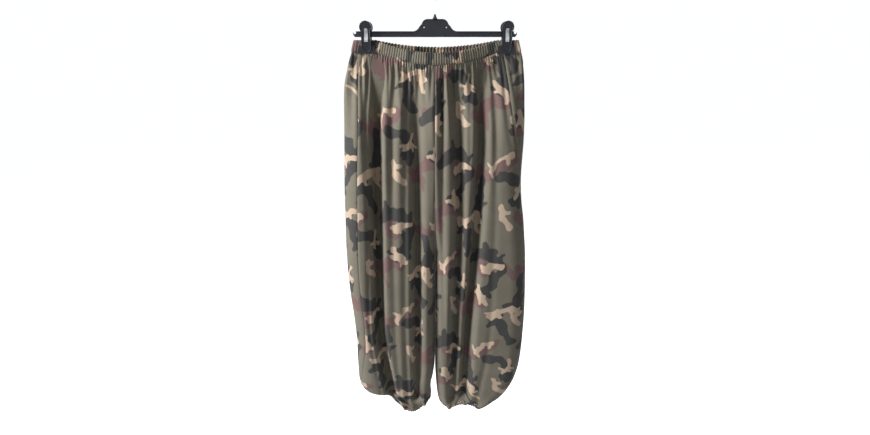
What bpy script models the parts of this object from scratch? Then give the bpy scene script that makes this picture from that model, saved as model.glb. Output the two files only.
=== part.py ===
"""Harem trousers with a ruched waist, hung by their waistband from a black clip hanger.

Metres, +Z up, and the front faces -Y. The origin is the inside top of the hanger's hook, where a rail
carries it. "left" and "right" are the wearer's: the left leg is at +X.

Every cloth piece is a loft. A half ring is the path of the cloth round half the garment at one height,
from the front centre (or the inseam) out to the side and back to the back centre. A leg panel takes the
part of each half ring between its two seams, and the folds push its points inwards.
"""

import collections
import math

import bmesh
import bpy
import numpy as np
from mathutils import Matrix

LEFT, RIGHT = 1, -1  # the sign of x on that side
SIDE_NAME = {LEFT: "left", RIGHT: "right"}

# The cloth
CLOTH = 0.0015  # wall of a leg panel
CASING = 0.0028  # wall of a ruched casing: two layers and the elastic
SEAM_GAP = 0.0003
CASING_GAP = 0.0006  # between a casing and its panels, which meet it slanting

# The waist, as the two clips hold it
WAIST_TOP = -0.1240  # top edge of the casing under the clips
WAIST_BAND = 0.0245
WAIST_RUCHES = 58  # on the front, and as many on the back
WAIST_RUCHE_DEPTH = 0.0015
SAG = {"front": 0.0265, "back": 0.0145}  # of the top edge, half way between the clips
WAIST_DEPTH = {"front": 0.026, "back": 0.022}  # how far the waist stands open, from y = 0
PINCH = 0.0026  # from y = 0 to the middle of the wall, under a clip
CLIP_X = {LEFT: 0.162, RIGHT: 0.1545}
JAW_HALF = 0.0215
WAIST_END = {LEFT: 0.188, RIGHT: 0.182}  # of the top edge
WAIST_SHAPE_ENDS = -0.34  # below this height the clips no longer shape the cloth
SAG_ENDS = -0.42

# The crotch and the seams
SEAT_CURVE_TOP = -0.40  # from here the centre seams curve in to the crotch
CROTCH = -0.6325
CREST = 0.036  # how far in from the inseam a leg reaches its full depth
SIDE_ROUND = 0.046  # the same at the side

# The ankles
CUFF_RUCHES = 38
CUFF_RUCHE_DEPTH = 0.0013
CUFF_HEIGHT = 0.018
# How far each cuff is drawn up in its middle, or minus where it hangs lower there
CUFF_ARCH = {
    ("front", LEFT): 0.018,
    ("back", LEFT): 0.004,
    ("front", RIGHT): -0.022,
    ("back", RIGHT): -0.016,
}
CUFF_ARCH_STARTS = -1.05
ANKLE_STARTS = -1.0
ANKLE_FLARE = 0.060  # a leg this much wider than its casing has its folds' full depth

COLUMN = 0.0102  # about the width of a panel's columns
GATHER_DEPTH = 0.0014  # of the small gathers under the waistband
GATHER_ENDS = -0.215
FOLDS_APART = 0.007  # at least, and as far from a seam
FOLD_GROWS = 0.045  # how far below the waistband a large fold has its full depth

# One row for each section of a leg: the height, how far the cloth reaches from x = 0 on its inner and
# its outer side, and how far it stands from y = 0 at the front and at the back.
Section = collections.namedtuple("Section", "height inner outer front back")
TOP_SECTION = WAIST_TOP - WAIST_BAND - CASING_GAP
SECTIONS = {
    LEFT: (
        Section(TOP_SECTION, 0.000, 0.1955, 0.028, 0.024),
        Section(-0.178, 0.000, 0.200, 0.031, 0.027),
        Section(-0.212, 0.000, 0.204, 0.034, 0.031),
        Section(-0.255, 0.000, 0.208, 0.037, 0.035),
        Section(-0.310, 0.000, 0.212, 0.040, 0.038),
        Section(-0.370, 0.000, 0.214, 0.042, 0.041),
        Section(-0.430, 0.000, 0.213, 0.043, 0.043),
        Section(-0.490, 0.000, 0.217, 0.044, 0.044),
        Section(-0.550, 0.000, 0.226, 0.045, 0.045),
        Section(-0.600, 0.000, 0.232, 0.045, 0.045),
        Section(-0.636, 0.000, 0.236, 0.045, 0.045),
        Section(-0.690, 0.000, 0.240, 0.045, 0.045),
        Section(-0.845, 0.000, 0.246, 0.045, 0.045),
        Section(-0.920, 0.000, 0.245, 0.044, 0.044),
        Section(-0.985, 0.000, 0.241, 0.043, 0.043),
        Section(-1.035, 0.002, 0.231, 0.041, 0.041),
        Section(-1.078, 0.005, 0.213, 0.038, 0.038),
        Section(-1.112, 0.010, 0.190, 0.034, 0.034),
        Section(-1.132, 0.017, 0.167, 0.030, 0.030),
        Section(-1.140, 0.023, 0.153, 0.0265, 0.0265),
        Section(-1.1285, 0.0245, 0.1455, 0.0235, 0.0235),
        Section(-1.1285, 0.029, 0.141, 0.018, 0.018),
    ),
    RIGHT: (
        Section(TOP_SECTION, 0.000, 0.190, 0.028, 0.024),
        Section(-0.178, 0.000, 0.200, 0.031, 0.027),
        Section(-0.212, 0.000, 0.207, 0.034, 0.031),
        Section(-0.255, 0.000, 0.212, 0.037, 0.035),
        Section(-0.310, 0.000, 0.216, 0.040, 0.038),
        Section(-0.370, 0.000, 0.220, 0.042, 0.041),
        Section(-0.430, 0.000, 0.224, 0.043, 0.043),
        Section(-0.490, 0.000, 0.227, 0.044, 0.044),
        Section(-0.550, 0.000, 0.229, 0.045, 0.045),
        Section(-0.600, 0.000, 0.231, 0.045, 0.045),
        Section(-0.636, 0.000, 0.232, 0.045, 0.045),
        Section(-0.690, 0.000, 0.232, 0.045, 0.045),
        Section(-0.765, 0.000, 0.229, 0.045, 0.045),
        Section(-0.845, 0.000, 0.223, 0.045, 0.045),
        Section(-0.920, 0.000, 0.220, 0.045, 0.045),
        Section(-0.985, 0.001, 0.221, 0.044, 0.044),
        Section(-1.030, 0.006, 0.221, 0.043, 0.043),
        Section(-1.060, 0.012, 0.217, 0.040, 0.040),
        Section(-1.080, 0.013, 0.203, 0.037, 0.037),
        Section(-1.090, 0.013, 0.166, 0.034, 0.034),
        Section(-1.101, 0.0135, 0.136, 0.033, 0.033),
        Section(-1.114, 0.014, 0.126, 0.031, 0.031),
        Section(-1.120, 0.0155, 0.1225, 0.0295, 0.0295),
        Section(-1.1105, 0.0165, 0.1205, 0.029, 0.029),
        Section(-1.1105, 0.021, 0.116, 0.024, 0.024),
    ),
}

# Each left panel is two solids, parted at this section, so that their collision follows the hollow closely.
LEFT_PARTED_AT = -0.636

# The side seams: how far in from the side's outermost line they run, on the front, or minus on the back.
SEAM_HEIGHTS = (TOP_SECTION, -0.20, -0.33, -0.45, -0.60, -0.90, -1.07)
SEAM_INSET = {
    LEFT: (0.040, 0.036, 0.026, 0.003, -0.006, -0.008, 0.000),
    RIGHT: (0.015, 0.028, 0.037, 0.037, 0.036, 0.030, 0.004),
}

# One row for each large fold: how far it lies from x = 0 at five heights, its half width, and its depth
# at the same heights.
FOLD_HEIGHTS = (-0.17, -0.33, -0.56, -0.85, -1.10)
Fold = collections.namedtuple("Fold", "places half_width depths")
FOLDS = {
    ("front", RIGHT): (
        Fold((0.040, 0.041, 0.039, 0.040, 0.044), 0.0085, (0.010, 0.017, 0.016, 0.018, 0.017)),
        Fold((0.068, 0.070, 0.075, 0.080, 0.080), 0.0090, (0.007, 0.006, 0.003, 0.004, 0.008)),
        Fold((0.098, 0.102, 0.106, 0.108, 0.100), 0.0090, (0.009, 0.008, 0.002, 0.002, 0.002)),
        Fold((0.126, 0.137, 0.141, 0.145, 0.122), 0.0130, (0.010, 0.026, 0.030, 0.029, 0.016)),
        Fold((0.150, 0.162, 0.166, 0.176, 0.150), 0.0065, (0.005, 0.009, 0.008, 0.004, 0.002)),
    ),
    ("front", LEFT): (
        Fold((0.017, 0.016, 0.018, 0.024, 0.038), 0.0075, (0.006, 0.006, 0.004, 0.002, 0.002)),
        Fold((0.046, 0.056, 0.060, 0.055, 0.050), 0.0095, (0.009, 0.015, 0.016, 0.018, 0.013)),
        Fold((0.079, 0.083, 0.083, 0.072, 0.066), 0.0080, (0.008, 0.005, 0.002, 0.002, 0.002)),
        Fold((0.109, 0.110, 0.105, 0.091, 0.083), 0.0110, (0.009, 0.016, 0.019, 0.026, 0.020)),
        Fold((0.137, 0.143, 0.150, 0.150, 0.122), 0.0090, (0.006, 0.005, 0.002, 0.002, 0.004)),
    ),
    ("back", RIGHT): (
        Fold((0.030, 0.033, 0.036, 0.044, 0.046), 0.0090, (0.006, 0.009, 0.008, 0.012, 0.010)),
        Fold((0.064, 0.072, 0.084, 0.088, 0.072), 0.0120, (0.007, 0.013, 0.016, 0.018, 0.010)),
        Fold((0.101, 0.112, 0.122, 0.130, 0.098), 0.0090, (0.005, 0.006, 0.003, 0.002, 0.003)),
        Fold((0.136, 0.150, 0.163, 0.166, 0.116), 0.0110, (0.006, 0.010, 0.014, 0.012, 0.004)),
    ),
    ("back", LEFT): (
        Fold((0.026, 0.030, 0.040, 0.050, 0.052), 0.0100, (0.006, 0.010, 0.011, 0.013, 0.008)),
        Fold((0.058, 0.066, 0.078, 0.092, 0.080), 0.0090, (0.005, 0.006, 0.004, 0.003, 0.003)),
        Fold((0.092, 0.108, 0.124, 0.132, 0.106), 0.0125, (0.007, 0.014, 0.017, 0.018, 0.010)),
        Fold((0.128, 0.148, 0.170, 0.182, 0.134), 0.0100, (0.006, 0.008, 0.007, 0.006, 0.003)),
    ),
}

# The hanger
BAR_TOP = -0.1045
BAR_BOTTOM = -0.1168
BAR_HALF = 0.1828
BAR_WEB = 0.0032
FLANGE_DEPTH = 0.0092
FLANGE = 0.0022
PLATE_TOP = -0.079
BOSS_RADIUS = 0.0060
BOSS_TOP = -0.0690
WIRE = 0.0030
HOOK_INSIDE = 0.0175  # radius of the hook's bend, inside the wire
CLIP_BOTTOM = -0.1525
JAW_GAP = 0.0049  # from y = 0 to a jaw's inner face
JAW_THICK = 0.0026
LEVER_THICK = 0.0024
LEVER_LEAN = math.radians(7.0)
SLOT_WIDTH = 0.0094
SLOT_BOTTOM = 0.0290  # above the jaw's lower edge
SLOT_TOP = 0.0553
SPRING_WIDTH = 0.0080
SPRING_THICK = 0.0009


def clear_scene():
    for thing in list(bpy.data.objects):
        bpy.data.objects.remove(thing, do_unlink=True)


def new_collection(name):
    collection = bpy.data.collections.new(name)
    bpy.context.scene.collection.children.link(collection)
    return collection


def plain_material(name, colour, roughness, metallic=0.0):
    material = bpy.data.materials.new(name)
    material.use_nodes = True
    shader = material.node_tree.nodes["Principled BSDF"]
    shader.inputs["Base Color"].default_value = (*colour, 1.0)
    shader.inputs["Roughness"].default_value = roughness
    shader.inputs["Metallic"].default_value = metallic
    return material


def smooth(start, end, value):
    """0 at start, 1 at end, with no corner at either."""
    share = np.clip((value - start) / (end - start), 0.0, 1.0)
    return share * share * (3.0 - 2.0 * share)


# ---------------------------------------------------------------- the path of the cloth round the body


def down(heights, values, height):
    """The value at this height, from values given at heights that run downwards."""
    return float(np.interp(-height, [-h for h in heights], values))


def seat_share(height):
    """How much of the full depth the centre seam keeps: 1 above the seat, 0 at the crotch and below."""
    fallen = np.clip((SEAT_CURVE_TOP - height) / (SEAT_CURVE_TOP - CROTCH), 0.0, 1.0)
    return math.sqrt(1.0 - fallen**2)


def body_depth(reach, section, full, share):
    """Depth from y = 0 at each reach, on the face of a leg that hangs free."""
    seam_depth = full * share
    inward = np.clip(1.0 - (reach - section.inner) / CREST, 0.0, 1.0)
    rise = np.sqrt(1.0 - inward**2)
    outward = np.clip((reach - (section.outer - SIDE_ROUND)) / SIDE_ROUND, 0.0, 1.0)
    fall = np.sqrt(1.0 - outward**2)
    return (seam_depth + (full - seam_depth) * rise) * fall


def waist_depth(leg, reach, outer, face):
    """Depth from y = 0 at each reach, where the clips hold the waistband."""
    reach = reach * WAIST_END[leg] / outer
    jaw_inner = CLIP_X[leg] - JAW_HALF
    jaw_outer = CLIP_X[leg] + JAW_HALF
    bow = 0.5 + 0.5 * np.cos(math.pi * np.clip(reach / jaw_inner, 0.0, 1.0))
    depth = PINCH + (WAIST_DEPTH[face] - PINCH) * bow**0.8
    past = np.clip((reach - jaw_outer) / (WAIST_END[leg] - jaw_outer), 0.0, 1.0)
    return depth * (1.0 + 0.5 * np.sin(math.pi * past)) * np.sqrt(1.0 - past**2)


Ring = collections.namedtuple("Ring", "x y arc side_arc reach_arc")


def half_ring(leg, section):
    """The dense path from the front centre by the side to the back centre, as x, y and length so far."""
    share = seat_share(section.height)
    hang = smooth(TOP_SECTION - 0.008, WAIST_SHAPE_ENDS, section.height)
    edge = SEAM_GAP / 2 + CLOTH / 2 * smooth(1.0, 0.85, share)
    inner = max(section.inner, edge)
    steps = (1.0 - np.cos(np.linspace(0.0, math.pi, 181))) / 2.0
    reach = inner + (section.outer - inner) * steps
    placed = section._replace(inner=inner)
    front = (1 - hang) * waist_depth(leg, reach, section.outer, "front")
    front = front + hang * body_depth(reach, placed, section.front, share)
    back = (1 - hang) * waist_depth(leg, reach, section.outer, "back")
    back = back + hang * body_depth(reach, placed, section.back, share)
    front[0] = max(front[0], SEAM_GAP / 2)
    back[0] = max(back[0], SEAM_GAP / 2)
    x = leg * np.concatenate([reach, reach[-2::-1]])
    y = np.concatenate([-front, back[-2::-1]])
    arc = np.concatenate([[0.0], np.cumsum(np.hypot(np.diff(x), np.diff(y)))])
    half = len(reach)
    return Ring(x, y, arc, arc[half - 1], {"front": arc[:half], "back": arc[half - 1 :][::-1]})


def seam_arc(leg, ring, height):
    """Where the side seam lies along the half ring."""
    inset = down(SEAM_HEIGHTS, SEAM_INSET[leg], height)
    face = ring.reach_arc["front" if inset > 0 else "back"]
    reach = np.abs(np.interp(face, ring.arc, ring.x))
    return float(np.interp(reach[-1] - abs(inset), reach, face))


def sag(x, height, on_front):
    """How far the cloth hangs below its nominal height, between the clips and low at the ankles."""
    first = -(CLIP_X[RIGHT] - JAW_HALF)
    last = CLIP_X[LEFT] - JAW_HALF
    along = np.clip((x - first) / (last - first), 0.0, 1.0)
    drop = np.where(on_front, SAG["front"], SAG["back"]) * 4.0 * along * (1.0 - along)
    return drop * smooth(SAG_ENDS, TOP_SECTION, height)


def ankle_lift(leg, x, height, on_front):
    """How far the middle of the ankle is drawn up."""
    last = SECTIONS[leg][-1]
    across = np.clip((np.abs(x) - last.inner) / (last.outer - last.inner), 0.0, 1.0)
    arch = np.where(on_front, CUFF_ARCH["front", leg], CUFF_ARCH["back", leg])
    return arch * np.sin(math.pi * across) ** 2 * smooth(CUFF_ARCH_STARTS, last.height, height)


def on_ring(leg, ring, arcs, height, inwards=0.0, wall=CLOTH):
    """Points of the cloth at these lengths along a half ring, pushed inwards but never past y = 0."""
    x = np.interp(arcs, ring.arc, ring.x)
    y = np.interp(arcs, ring.arc, ring.y)
    reach = 0.0015
    before = np.maximum(arcs - reach, 0.0)
    after = np.minimum(arcs + reach, ring.arc[-1])
    dx = np.interp(after, ring.arc, ring.x) - np.interp(before, ring.arc, ring.x)
    dy = np.interp(after, ring.arc, ring.y) - np.interp(before, ring.arc, ring.y)
    size = np.hypot(dx, dy)
    on_front = arcs < ring.side_arc
    z = height - sag(x, height, on_front) + ankle_lift(leg, x, height, on_front)
    room = (np.abs(y) - wall / 2 - SEAM_GAP) / np.maximum(np.abs(dx) / size, 0.3)
    inwards = np.minimum(inwards, np.maximum(room, 0.0))
    x = x - leg * dy / size * inwards
    y = y + leg * dx / size * inwards
    return np.stack([x, y, z], axis=1)


# ---------------------------------------------------------------- cloth pieces


def held_by_clip(leg, x):
    """How flat the jaws press the cloth: 0.75 under a clip and 0 away from it."""
    return 0.75 * np.exp(-(((np.abs(x) - CLIP_X[leg]) / 0.026) ** 4))


def fold_arcs(leg, face, ring, height):
    """Where each large fold of this panel lies along the half ring, in the order of the path."""
    reach = np.abs(np.interp(ring.reach_arc[face], ring.arc, ring.x))
    places = [down(FOLD_HEIGHTS, fold.places, height) for fold in FOLDS[face, leg]]
    arcs = [float(np.interp(place, reach, ring.reach_arc[face])) for place in places]
    return arcs if face == "front" else arcs[::-1]


def panel_folds(leg, face):
    return FOLDS[face, leg] if face == "front" else FOLDS[face, leg][::-1]


def fold_share(leg, section):
    """How much of a fold's depth is left here: none at the waistband and at the ankle's casing."""
    share = smooth(TOP_SECTION, TOP_SECTION - FOLD_GROWS, section.height)
    if section.height < ANKLE_STARTS:
        last = SECTIONS[leg][-1]
        share *= smooth(last.outer, last.outer + ANKLE_FLARE, section.outer) ** 2
    return share


def seam_point(leg, section):
    ring = half_ring(leg, section)
    return on_ring(leg, ring, np.array([seam_arc(leg, ring, section.height)]), section.height)[0]


def unit(vector):
    return vector / np.linalg.norm(vector)


def seam_gap(leg, index):
    """Half the seam's gap, round the half ring: wider where the seam slants or the cloth turns there."""
    sections = SECTIONS[leg]
    height = sections[index].height
    above = seam_point(leg, sections[max(index - 1, 0)])
    below = seam_point(leg, sections[min(index + 1, len(sections) - 1)])
    ring = half_ring(leg, sections[index])
    seam = seam_arc(leg, ring, height)
    places = np.array([seam - COLUMN, seam, seam + COLUMN])
    before, here, after = on_ring(leg, ring, places, height)
    turn = math.acos(min(1.0, np.dot(unit(here - before), unit(after - here)))) / 2
    square = np.linalg.norm(np.cross(unit(after - before), unit(below - above)))
    return (SEAM_GAP / 2 + CLOTH / 2 * math.tan(turn)) / max(square, 0.2)


def panel_ends(leg, face, index, ring):
    """The two edges of a panel along the half ring, half a seam gap in from each seam."""
    seam = seam_arc(leg, ring, SECTIONS[leg][index].height)
    gap = seam_gap(leg, index)
    if face == "front":
        return 0.0, seam - gap
    return seam + gap, ring.arc[-1]


def columns_between(knots):
    return [max(2, round((b - a) / COLUMN)) for a, b in zip(knots, knots[1:])]


def spread(knots, counts):
    """Column places, evenly spaced between the knots."""
    runs = [np.linspace(a, b, n, endpoint=False) for a, b, n in zip(knots, knots[1:], counts)]
    return np.concatenate([*runs, [knots[-1]]])


def panel_knots(leg, face, index, ring):
    """Along the half ring, in order: the panel's two edges, its folds and the side's outermost line."""
    first, last = panel_ends(leg, face, index, ring)
    folds = fold_arcs(leg, face, ring, SECTIONS[leg][index].height)
    if face == "front":
        knots = [first, *folds, ring.side_arc, last]
    else:
        knots = [first, ring.side_arc, *folds, last]
    for here in range(len(knots) - 2, 0, -1):
        knots[here] = min(knots[here], knots[here + 1] - FOLDS_APART)
    for here in range(1, len(knots) - 1):
        knots[here] = max(knots[here], knots[here - 1] + FOLDS_APART)
    return knots


def leg_panel_points(leg, face):
    """Rows of points down one leg panel, with its folds and the gathers under the waistband."""
    rings = [half_ring(leg, section) for section in SECTIONS[leg]]
    widest = max(range(len(rings)), key=lambda index: rings[index].arc[-1])
    counts = columns_between(panel_knots(leg, face, widest, rings[widest]))
    rows = []
    for index, section in enumerate(SECTIONS[leg]):
        ring = rings[index]
        knots = panel_knots(leg, face, index, ring)
        arcs = spread(knots, counts)
        inwards = np.zeros(len(arcs))
        freed = fold_share(leg, section)
        places = knots[1:-2] if face == "front" else knots[2:-1]
        for fold, place in zip(panel_folds(leg, face), places):
            depth = freed * down(FOLD_HEIGHTS, fold.depths, section.height)
            inwards += depth * np.exp(-(((arcs - place) / fold.half_width) ** 2))
        gather = GATHER_DEPTH * smooth(GATHER_ENDS, TOP_SECTION, section.height)
        free = 1.0 - held_by_clip(leg, np.interp(arcs, ring.arc, ring.x))
        inwards += gather * free * np.where(np.arange(len(arcs)) % 2, 1.0, -1.0)
        edge = np.minimum(arcs - arcs[0], arcs[-1] - arcs)
        inwards *= smooth(0.0, 0.012, edge)
        rows.append(on_ring(leg, ring, arcs, section.height, inwards))
    return np.array(rows)


def parted(leg, rows):
    """A leg panel's solids, as the end of each one's name and its rows of points."""
    if leg == RIGHT:
        return [("", rows)]
    part_row = [section.height for section in SECTIONS[leg]].index(LEFT_PARTED_AT)
    upper, lower = rows[: part_row + 1].copy(), rows[part_row:].copy()
    upper[-1, :, 2] += SEAM_GAP / 2
    lower[0, :, 2] -= SEAM_GAP / 2
    return [("_upper", upper), ("_lower", lower)]


def ruched(count):
    """A zigzag with this many ruches, 1 in a crease and -1 on a ridge."""
    return np.where(np.arange(2 * count + 1) % 2, 1.0, -1.0)


def two_runs(ends, steps):
    """Evenly spaced places along two stretches that join, as (leg, lengths along its half ring)."""
    (leg_a, start_a, end_a), (leg_b, start_b, end_b) = ends
    length_a = abs(end_a - start_a)
    length_b = abs(end_b - start_b)
    along = np.linspace(0.0, length_a + length_b, steps)
    in_a = along <= length_a
    arcs_a = start_a + np.sign(end_a - start_a) * along[in_a]
    arcs_b = start_b + np.sign(end_b - start_b) * (along[~in_a] - length_a)
    return (leg_a, arcs_a), (leg_b, arcs_b)


def waistband_rings(risen):
    """Both half rings of the waistband at this share of its height."""
    rings = {}
    for leg in (LEFT, RIGHT):
        low = SECTIONS[leg][0]
        rings[leg] = half_ring(leg, low._replace(outer=low.outer + risen * (WAIST_END[leg] - low.outer)))
    return rings


def waistband_ends(face, rings):
    """Where this half of the waistband starts and ends on each half ring, as (leg, from, to)."""
    seams = {leg: seam_arc(leg, rings[leg], TOP_SECTION) for leg in (LEFT, RIGHT)}
    gap = CASING_GAP / 2
    if face == "front":
        return (RIGHT, seams[RIGHT] - gap, 0.0), (LEFT, 0.0, seams[LEFT] - gap)
    return (
        (LEFT, seams[LEFT] + gap, rings[LEFT].arc[-1]),
        (RIGHT, rings[RIGHT].arc[-1], seams[RIGHT] + gap),
    )


# One row for each line of points up the waistband: how high it is, as a share of the band, how full its
# ruches are, and how far they scallop it.
WAISTBAND_LINES = ((1.0, 0.9, 0.0007), (0.5, 1.0, 0.0), (0.0, 0.8, 0.0))


def waistband_points(face):
    """Rows of points round one half of the waistband, from seam to seam and from its top edge down."""
    waves = ruched(WAIST_RUCHES)
    waves[[0, -1]] = 0.0
    rows = []
    for risen, fullness, scallop in WAISTBAND_LINES:
        rings = waistband_rings(risen)
        pieces = []
        used = 0
        for leg, arcs in two_runs(waistband_ends(face, rings), len(waves)):
            wave = waves[used : used + len(arcs)]
            used += len(arcs)
            ring = rings[leg]
            free = 1.0 - held_by_clip(leg, np.interp(arcs, ring.arc, ring.x))
            push = WAIST_RUCHE_DEPTH * fullness * wave * free
            points = on_ring(leg, ring, arcs, TOP_SECTION, push, CASING)
            points[:, 2] += CASING_GAP + WAIST_BAND * risen + scallop * wave
            pieces.append(points)
        rows.append(np.concatenate(pieces))
    return np.array(rows)


def cuff_points(leg):
    """Rows of points round one ankle casing, closed."""
    section = SECTIONS[leg][-1]
    ring = half_ring(leg, section)
    steps = 2 * CUFF_RUCHES
    arcs = np.linspace(0.0, ring.arc[-1], steps, endpoint=False)
    waves = ruched(CUFF_RUCHES)[:-1]
    rows = []
    for share, fullness in ((0.0, 0.7), (0.5, 1.0), (1.0, 1.0)):
        points = on_ring(leg, ring, arcs, section.height, CUFF_RUCHE_DEPTH * fullness * waves)
        points[:, 2] -= CLOTH / 2 + CASING_GAP + CUFF_HEIGHT * share
        rows.append(points)
    return np.array(rows)


def sheet_object(name, points, thickness, material, collection, ring=False):
    """A thin wall through rows of points, thickened to both sides. A ring's last column joins its first."""
    rows, columns, _ = points.shape
    last = columns if ring else columns - 1
    faces = []
    for row in range(rows - 1):
        for column in range(last):
            beside = (column + 1) % columns
            a, b = row * columns + column, row * columns + beside
            faces.append((a, b, b + columns, a + columns))
    mesh = bpy.data.meshes.new(name)
    mesh.from_pydata(points.reshape(-1, 3).tolist(), [], faces)
    mesh.materials.append(material)
    mesh.shade_smooth()
    made = bpy.data.objects.new(name, mesh)
    collection.objects.link(made)
    wall = made.modifiers.new("Wall", "SOLIDIFY")
    wall.thickness = thickness
    wall.offset = 0.0
    return made


def make_cloth(collection):
    cloth = plain_material("printed_cloth", (0.15, 0.145, 0.11), 0.85)
    for leg in (LEFT, RIGHT):
        for face in ("front", "back"):
            for end, rows in parted(leg, leg_panel_points(leg, face)):
                name = f"{face}_{SIDE_NAME[leg]}_leg{end}"
                sheet_object(name, rows, CLOTH, cloth, collection)
        name = f"{SIDE_NAME[leg]}_cuff"
        sheet_object(name, cuff_points(leg), CASING, cloth, collection, ring=True)
    for face in ("front", "back"):
        sheet_object(f"waistband_{face}", waistband_points(face), CASING, cloth, collection)


# ---------------------------------------------------------------- the hanger


def arc(centre_x, centre_z, radius, start, end, steps):
    """Points on an arc, from one angle to the other in degrees."""
    angles = np.radians(np.linspace(start, end, steps))
    return [(centre_x + radius * math.cos(a), centre_z + radius * math.sin(a)) for a in angles]


def flat_plate(name, outlines, thickness, material):
    """A plate in the XZ plane, centred on y = 0, from one outline and any holes in it."""
    curve = bpy.data.curves.new(name, "CURVE")
    curve.dimensions = "2D"
    curve.fill_mode = "BOTH"
    curve.extrude = thickness / 2
    for outline in outlines:
        spline = curve.splines.new("POLY")
        spline.points.add(len(outline) - 1)
        for point, (x, z) in zip(spline.points, outline):
            point.co = (x, z, 0.0, 1.0)
        spline.use_cyclic_u = True
    drawn = bpy.data.objects.new(name, curve)
    bpy.context.scene.collection.objects.link(drawn)
    drawn.rotation_euler = (math.radians(90), 0.0, 0.0)
    return as_mesh(drawn, name, material)


def as_mesh(drawn, name, material):
    """A mesh object in place of a curve, with its caps welded on."""
    bpy.context.view_layer.update()
    graph = bpy.context.evaluated_depsgraph_get()
    mesh = bpy.data.meshes.new_from_object(drawn.evaluated_get(graph))
    mesh.transform(drawn.matrix_world)
    bpy.data.objects.remove(drawn, do_unlink=True)
    work = bmesh.new()
    work.from_mesh(mesh)
    bmesh.ops.remove_doubles(work, verts=work.verts, dist=1e-6)
    bmesh.ops.recalc_face_normals(work, faces=work.faces)
    work.to_mesh(mesh)
    work.free()
    mesh.name = name
    mesh.materials.clear()
    mesh.materials.append(material)
    return bpy.data.objects.new(name, mesh)


def box(name, low, high, material):
    mesh = bpy.data.meshes.new(name)
    work = bmesh.new()
    bmesh.ops.create_cube(work, size=1.0)
    low, high = np.array(low), np.array(high)
    bmesh.ops.scale(work, vec=high - low, verts=work.verts)
    bmesh.ops.translate(work, vec=(high + low) / 2, verts=work.verts)
    work.to_mesh(mesh)
    work.free()
    mesh.materials.append(material)
    return bpy.data.objects.new(name, mesh)


def turned(name, profile, steps, material):
    """A solid turned about the Z axis from (radius, height) points, from the top down."""
    mesh = bpy.data.meshes.new(name)
    points = [(0.0, profile[0][1]), *profile, (0.0, profile[-1][1])]
    edges = [(i, i + 1) for i in range(len(points) - 1)]
    mesh.from_pydata([(r, 0.0, z) for r, z in points], edges, [])
    mesh.materials.append(material)
    made = bpy.data.objects.new(name, mesh)
    screw = made.modifiers.new("Turn", "SCREW")
    screw.steps = steps
    screw.render_steps = steps
    screw.use_merge_vertices = True
    screw.merge_threshold = 0.00001
    return made


def join(base, others, collection, cutters):
    """The base object with the others united to it by Booleans."""
    collection.objects.link(base)
    for other in others:
        cutters.objects.link(other)
        other.hide_render = True
        other.display_type = "WIRE"
        union = base.modifiers.new(f"Join {other.name}", "BOOLEAN")
        union.operation = "UNION"
        union.object = other
    return base


def bar_outline():
    """The bar with its raised middle plate and the strap notch at each end, for x > 0 and mirrored."""
    side = [(0.0, PLATE_TOP)]
    side += arc(0.0165, PLATE_TOP - 0.014, 0.014, 90, 15, 6)
    side += arc(0.0500, BAR_TOP + 0.016, 0.016, 205, 270, 6)
    side += [(BAR_HALF - 0.0085, BAR_TOP)]
    side += arc(BAR_HALF - 0.0025, BAR_TOP - 0.0030, 0.0030, 125, 350, 8)
    side += [(BAR_HALF + 0.0018, BAR_TOP - 0.0018), (BAR_HALF + 0.0010, BAR_TOP - 0.0080)]
    side += [(BAR_HALF - 0.0025, BAR_BOTTOM)]
    return side + [(-x, z) for x, z in side[:0:-1]]


def make_bar(collection, cutters, plastic):
    hole = 0.0012
    holes = [arc(x, -0.0965, hole, 0, 315, 8) for x in (-0.0245, 0.0255)]
    bar = flat_plate("hanger_bar", [bar_outline(), *holes], BAR_WEB, plastic)
    deep = FLANGE_DEPTH / 2
    lower = box(
        "lower_flange",
        (-BAR_HALF + 0.006, -deep, BAR_BOTTOM),
        (BAR_HALF - 0.006, deep, BAR_BOTTOM + FLANGE),
        plastic,
    )
    uppers = [
        box(
            f"upper_flange_{SIDE_NAME[leg]}",
            (min(leg * 0.052, leg * (BAR_HALF - 0.0095)), -deep, BAR_TOP - FLANGE),
            (max(leg * 0.052, leg * (BAR_HALF - 0.0095)), deep, BAR_TOP),
            plastic,
        )
        for leg in (LEFT, RIGHT)
    ]
    cone = [(0.0019, BOSS_TOP), (0.0030, BOSS_TOP - 0.0045), (BOSS_RADIUS, PLATE_TOP)]
    boss = turned("hook_boss", [*cone, (0.0010, PLATE_TOP - 0.004)], 12, plastic)
    boss.data.transform(Matrix.Diagonal((1.0, 0.5, 1.0, 1.0)))
    return join(bar, [lower, *uppers, boss], collection, cutters)


def hook_path():
    """The middle of the wire: up the stem, out to the side and over the top, in the XZ plane."""
    radius = HOOK_INSIDE + WIRE / 2
    centre = -HOOK_INSIDE
    bend = arc(0.0, centre, radius, -48, 212, 22)
    foot = np.array([0.0, BOSS_TOP + SEAM_GAP])
    stem = np.array([0.0, centre - radius - 0.008])
    join_at = np.array(bend[0])
    leave = stem + np.array([0.0, 0.0055])
    arrive = join_at - 0.006 * np.array([math.sin(math.radians(48)), math.cos(math.radians(48))])
    points = [tuple(foot)]
    for t in np.linspace(0.0, 1.0, 6)[:-1]:
        low = (1 - t) ** 3 * stem + 3 * t * (1 - t) ** 2 * leave
        high = 3 * t**2 * (1 - t) * arrive + t**3 * join_at
        points.append(tuple(low + high))
    return points + bend


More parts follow.
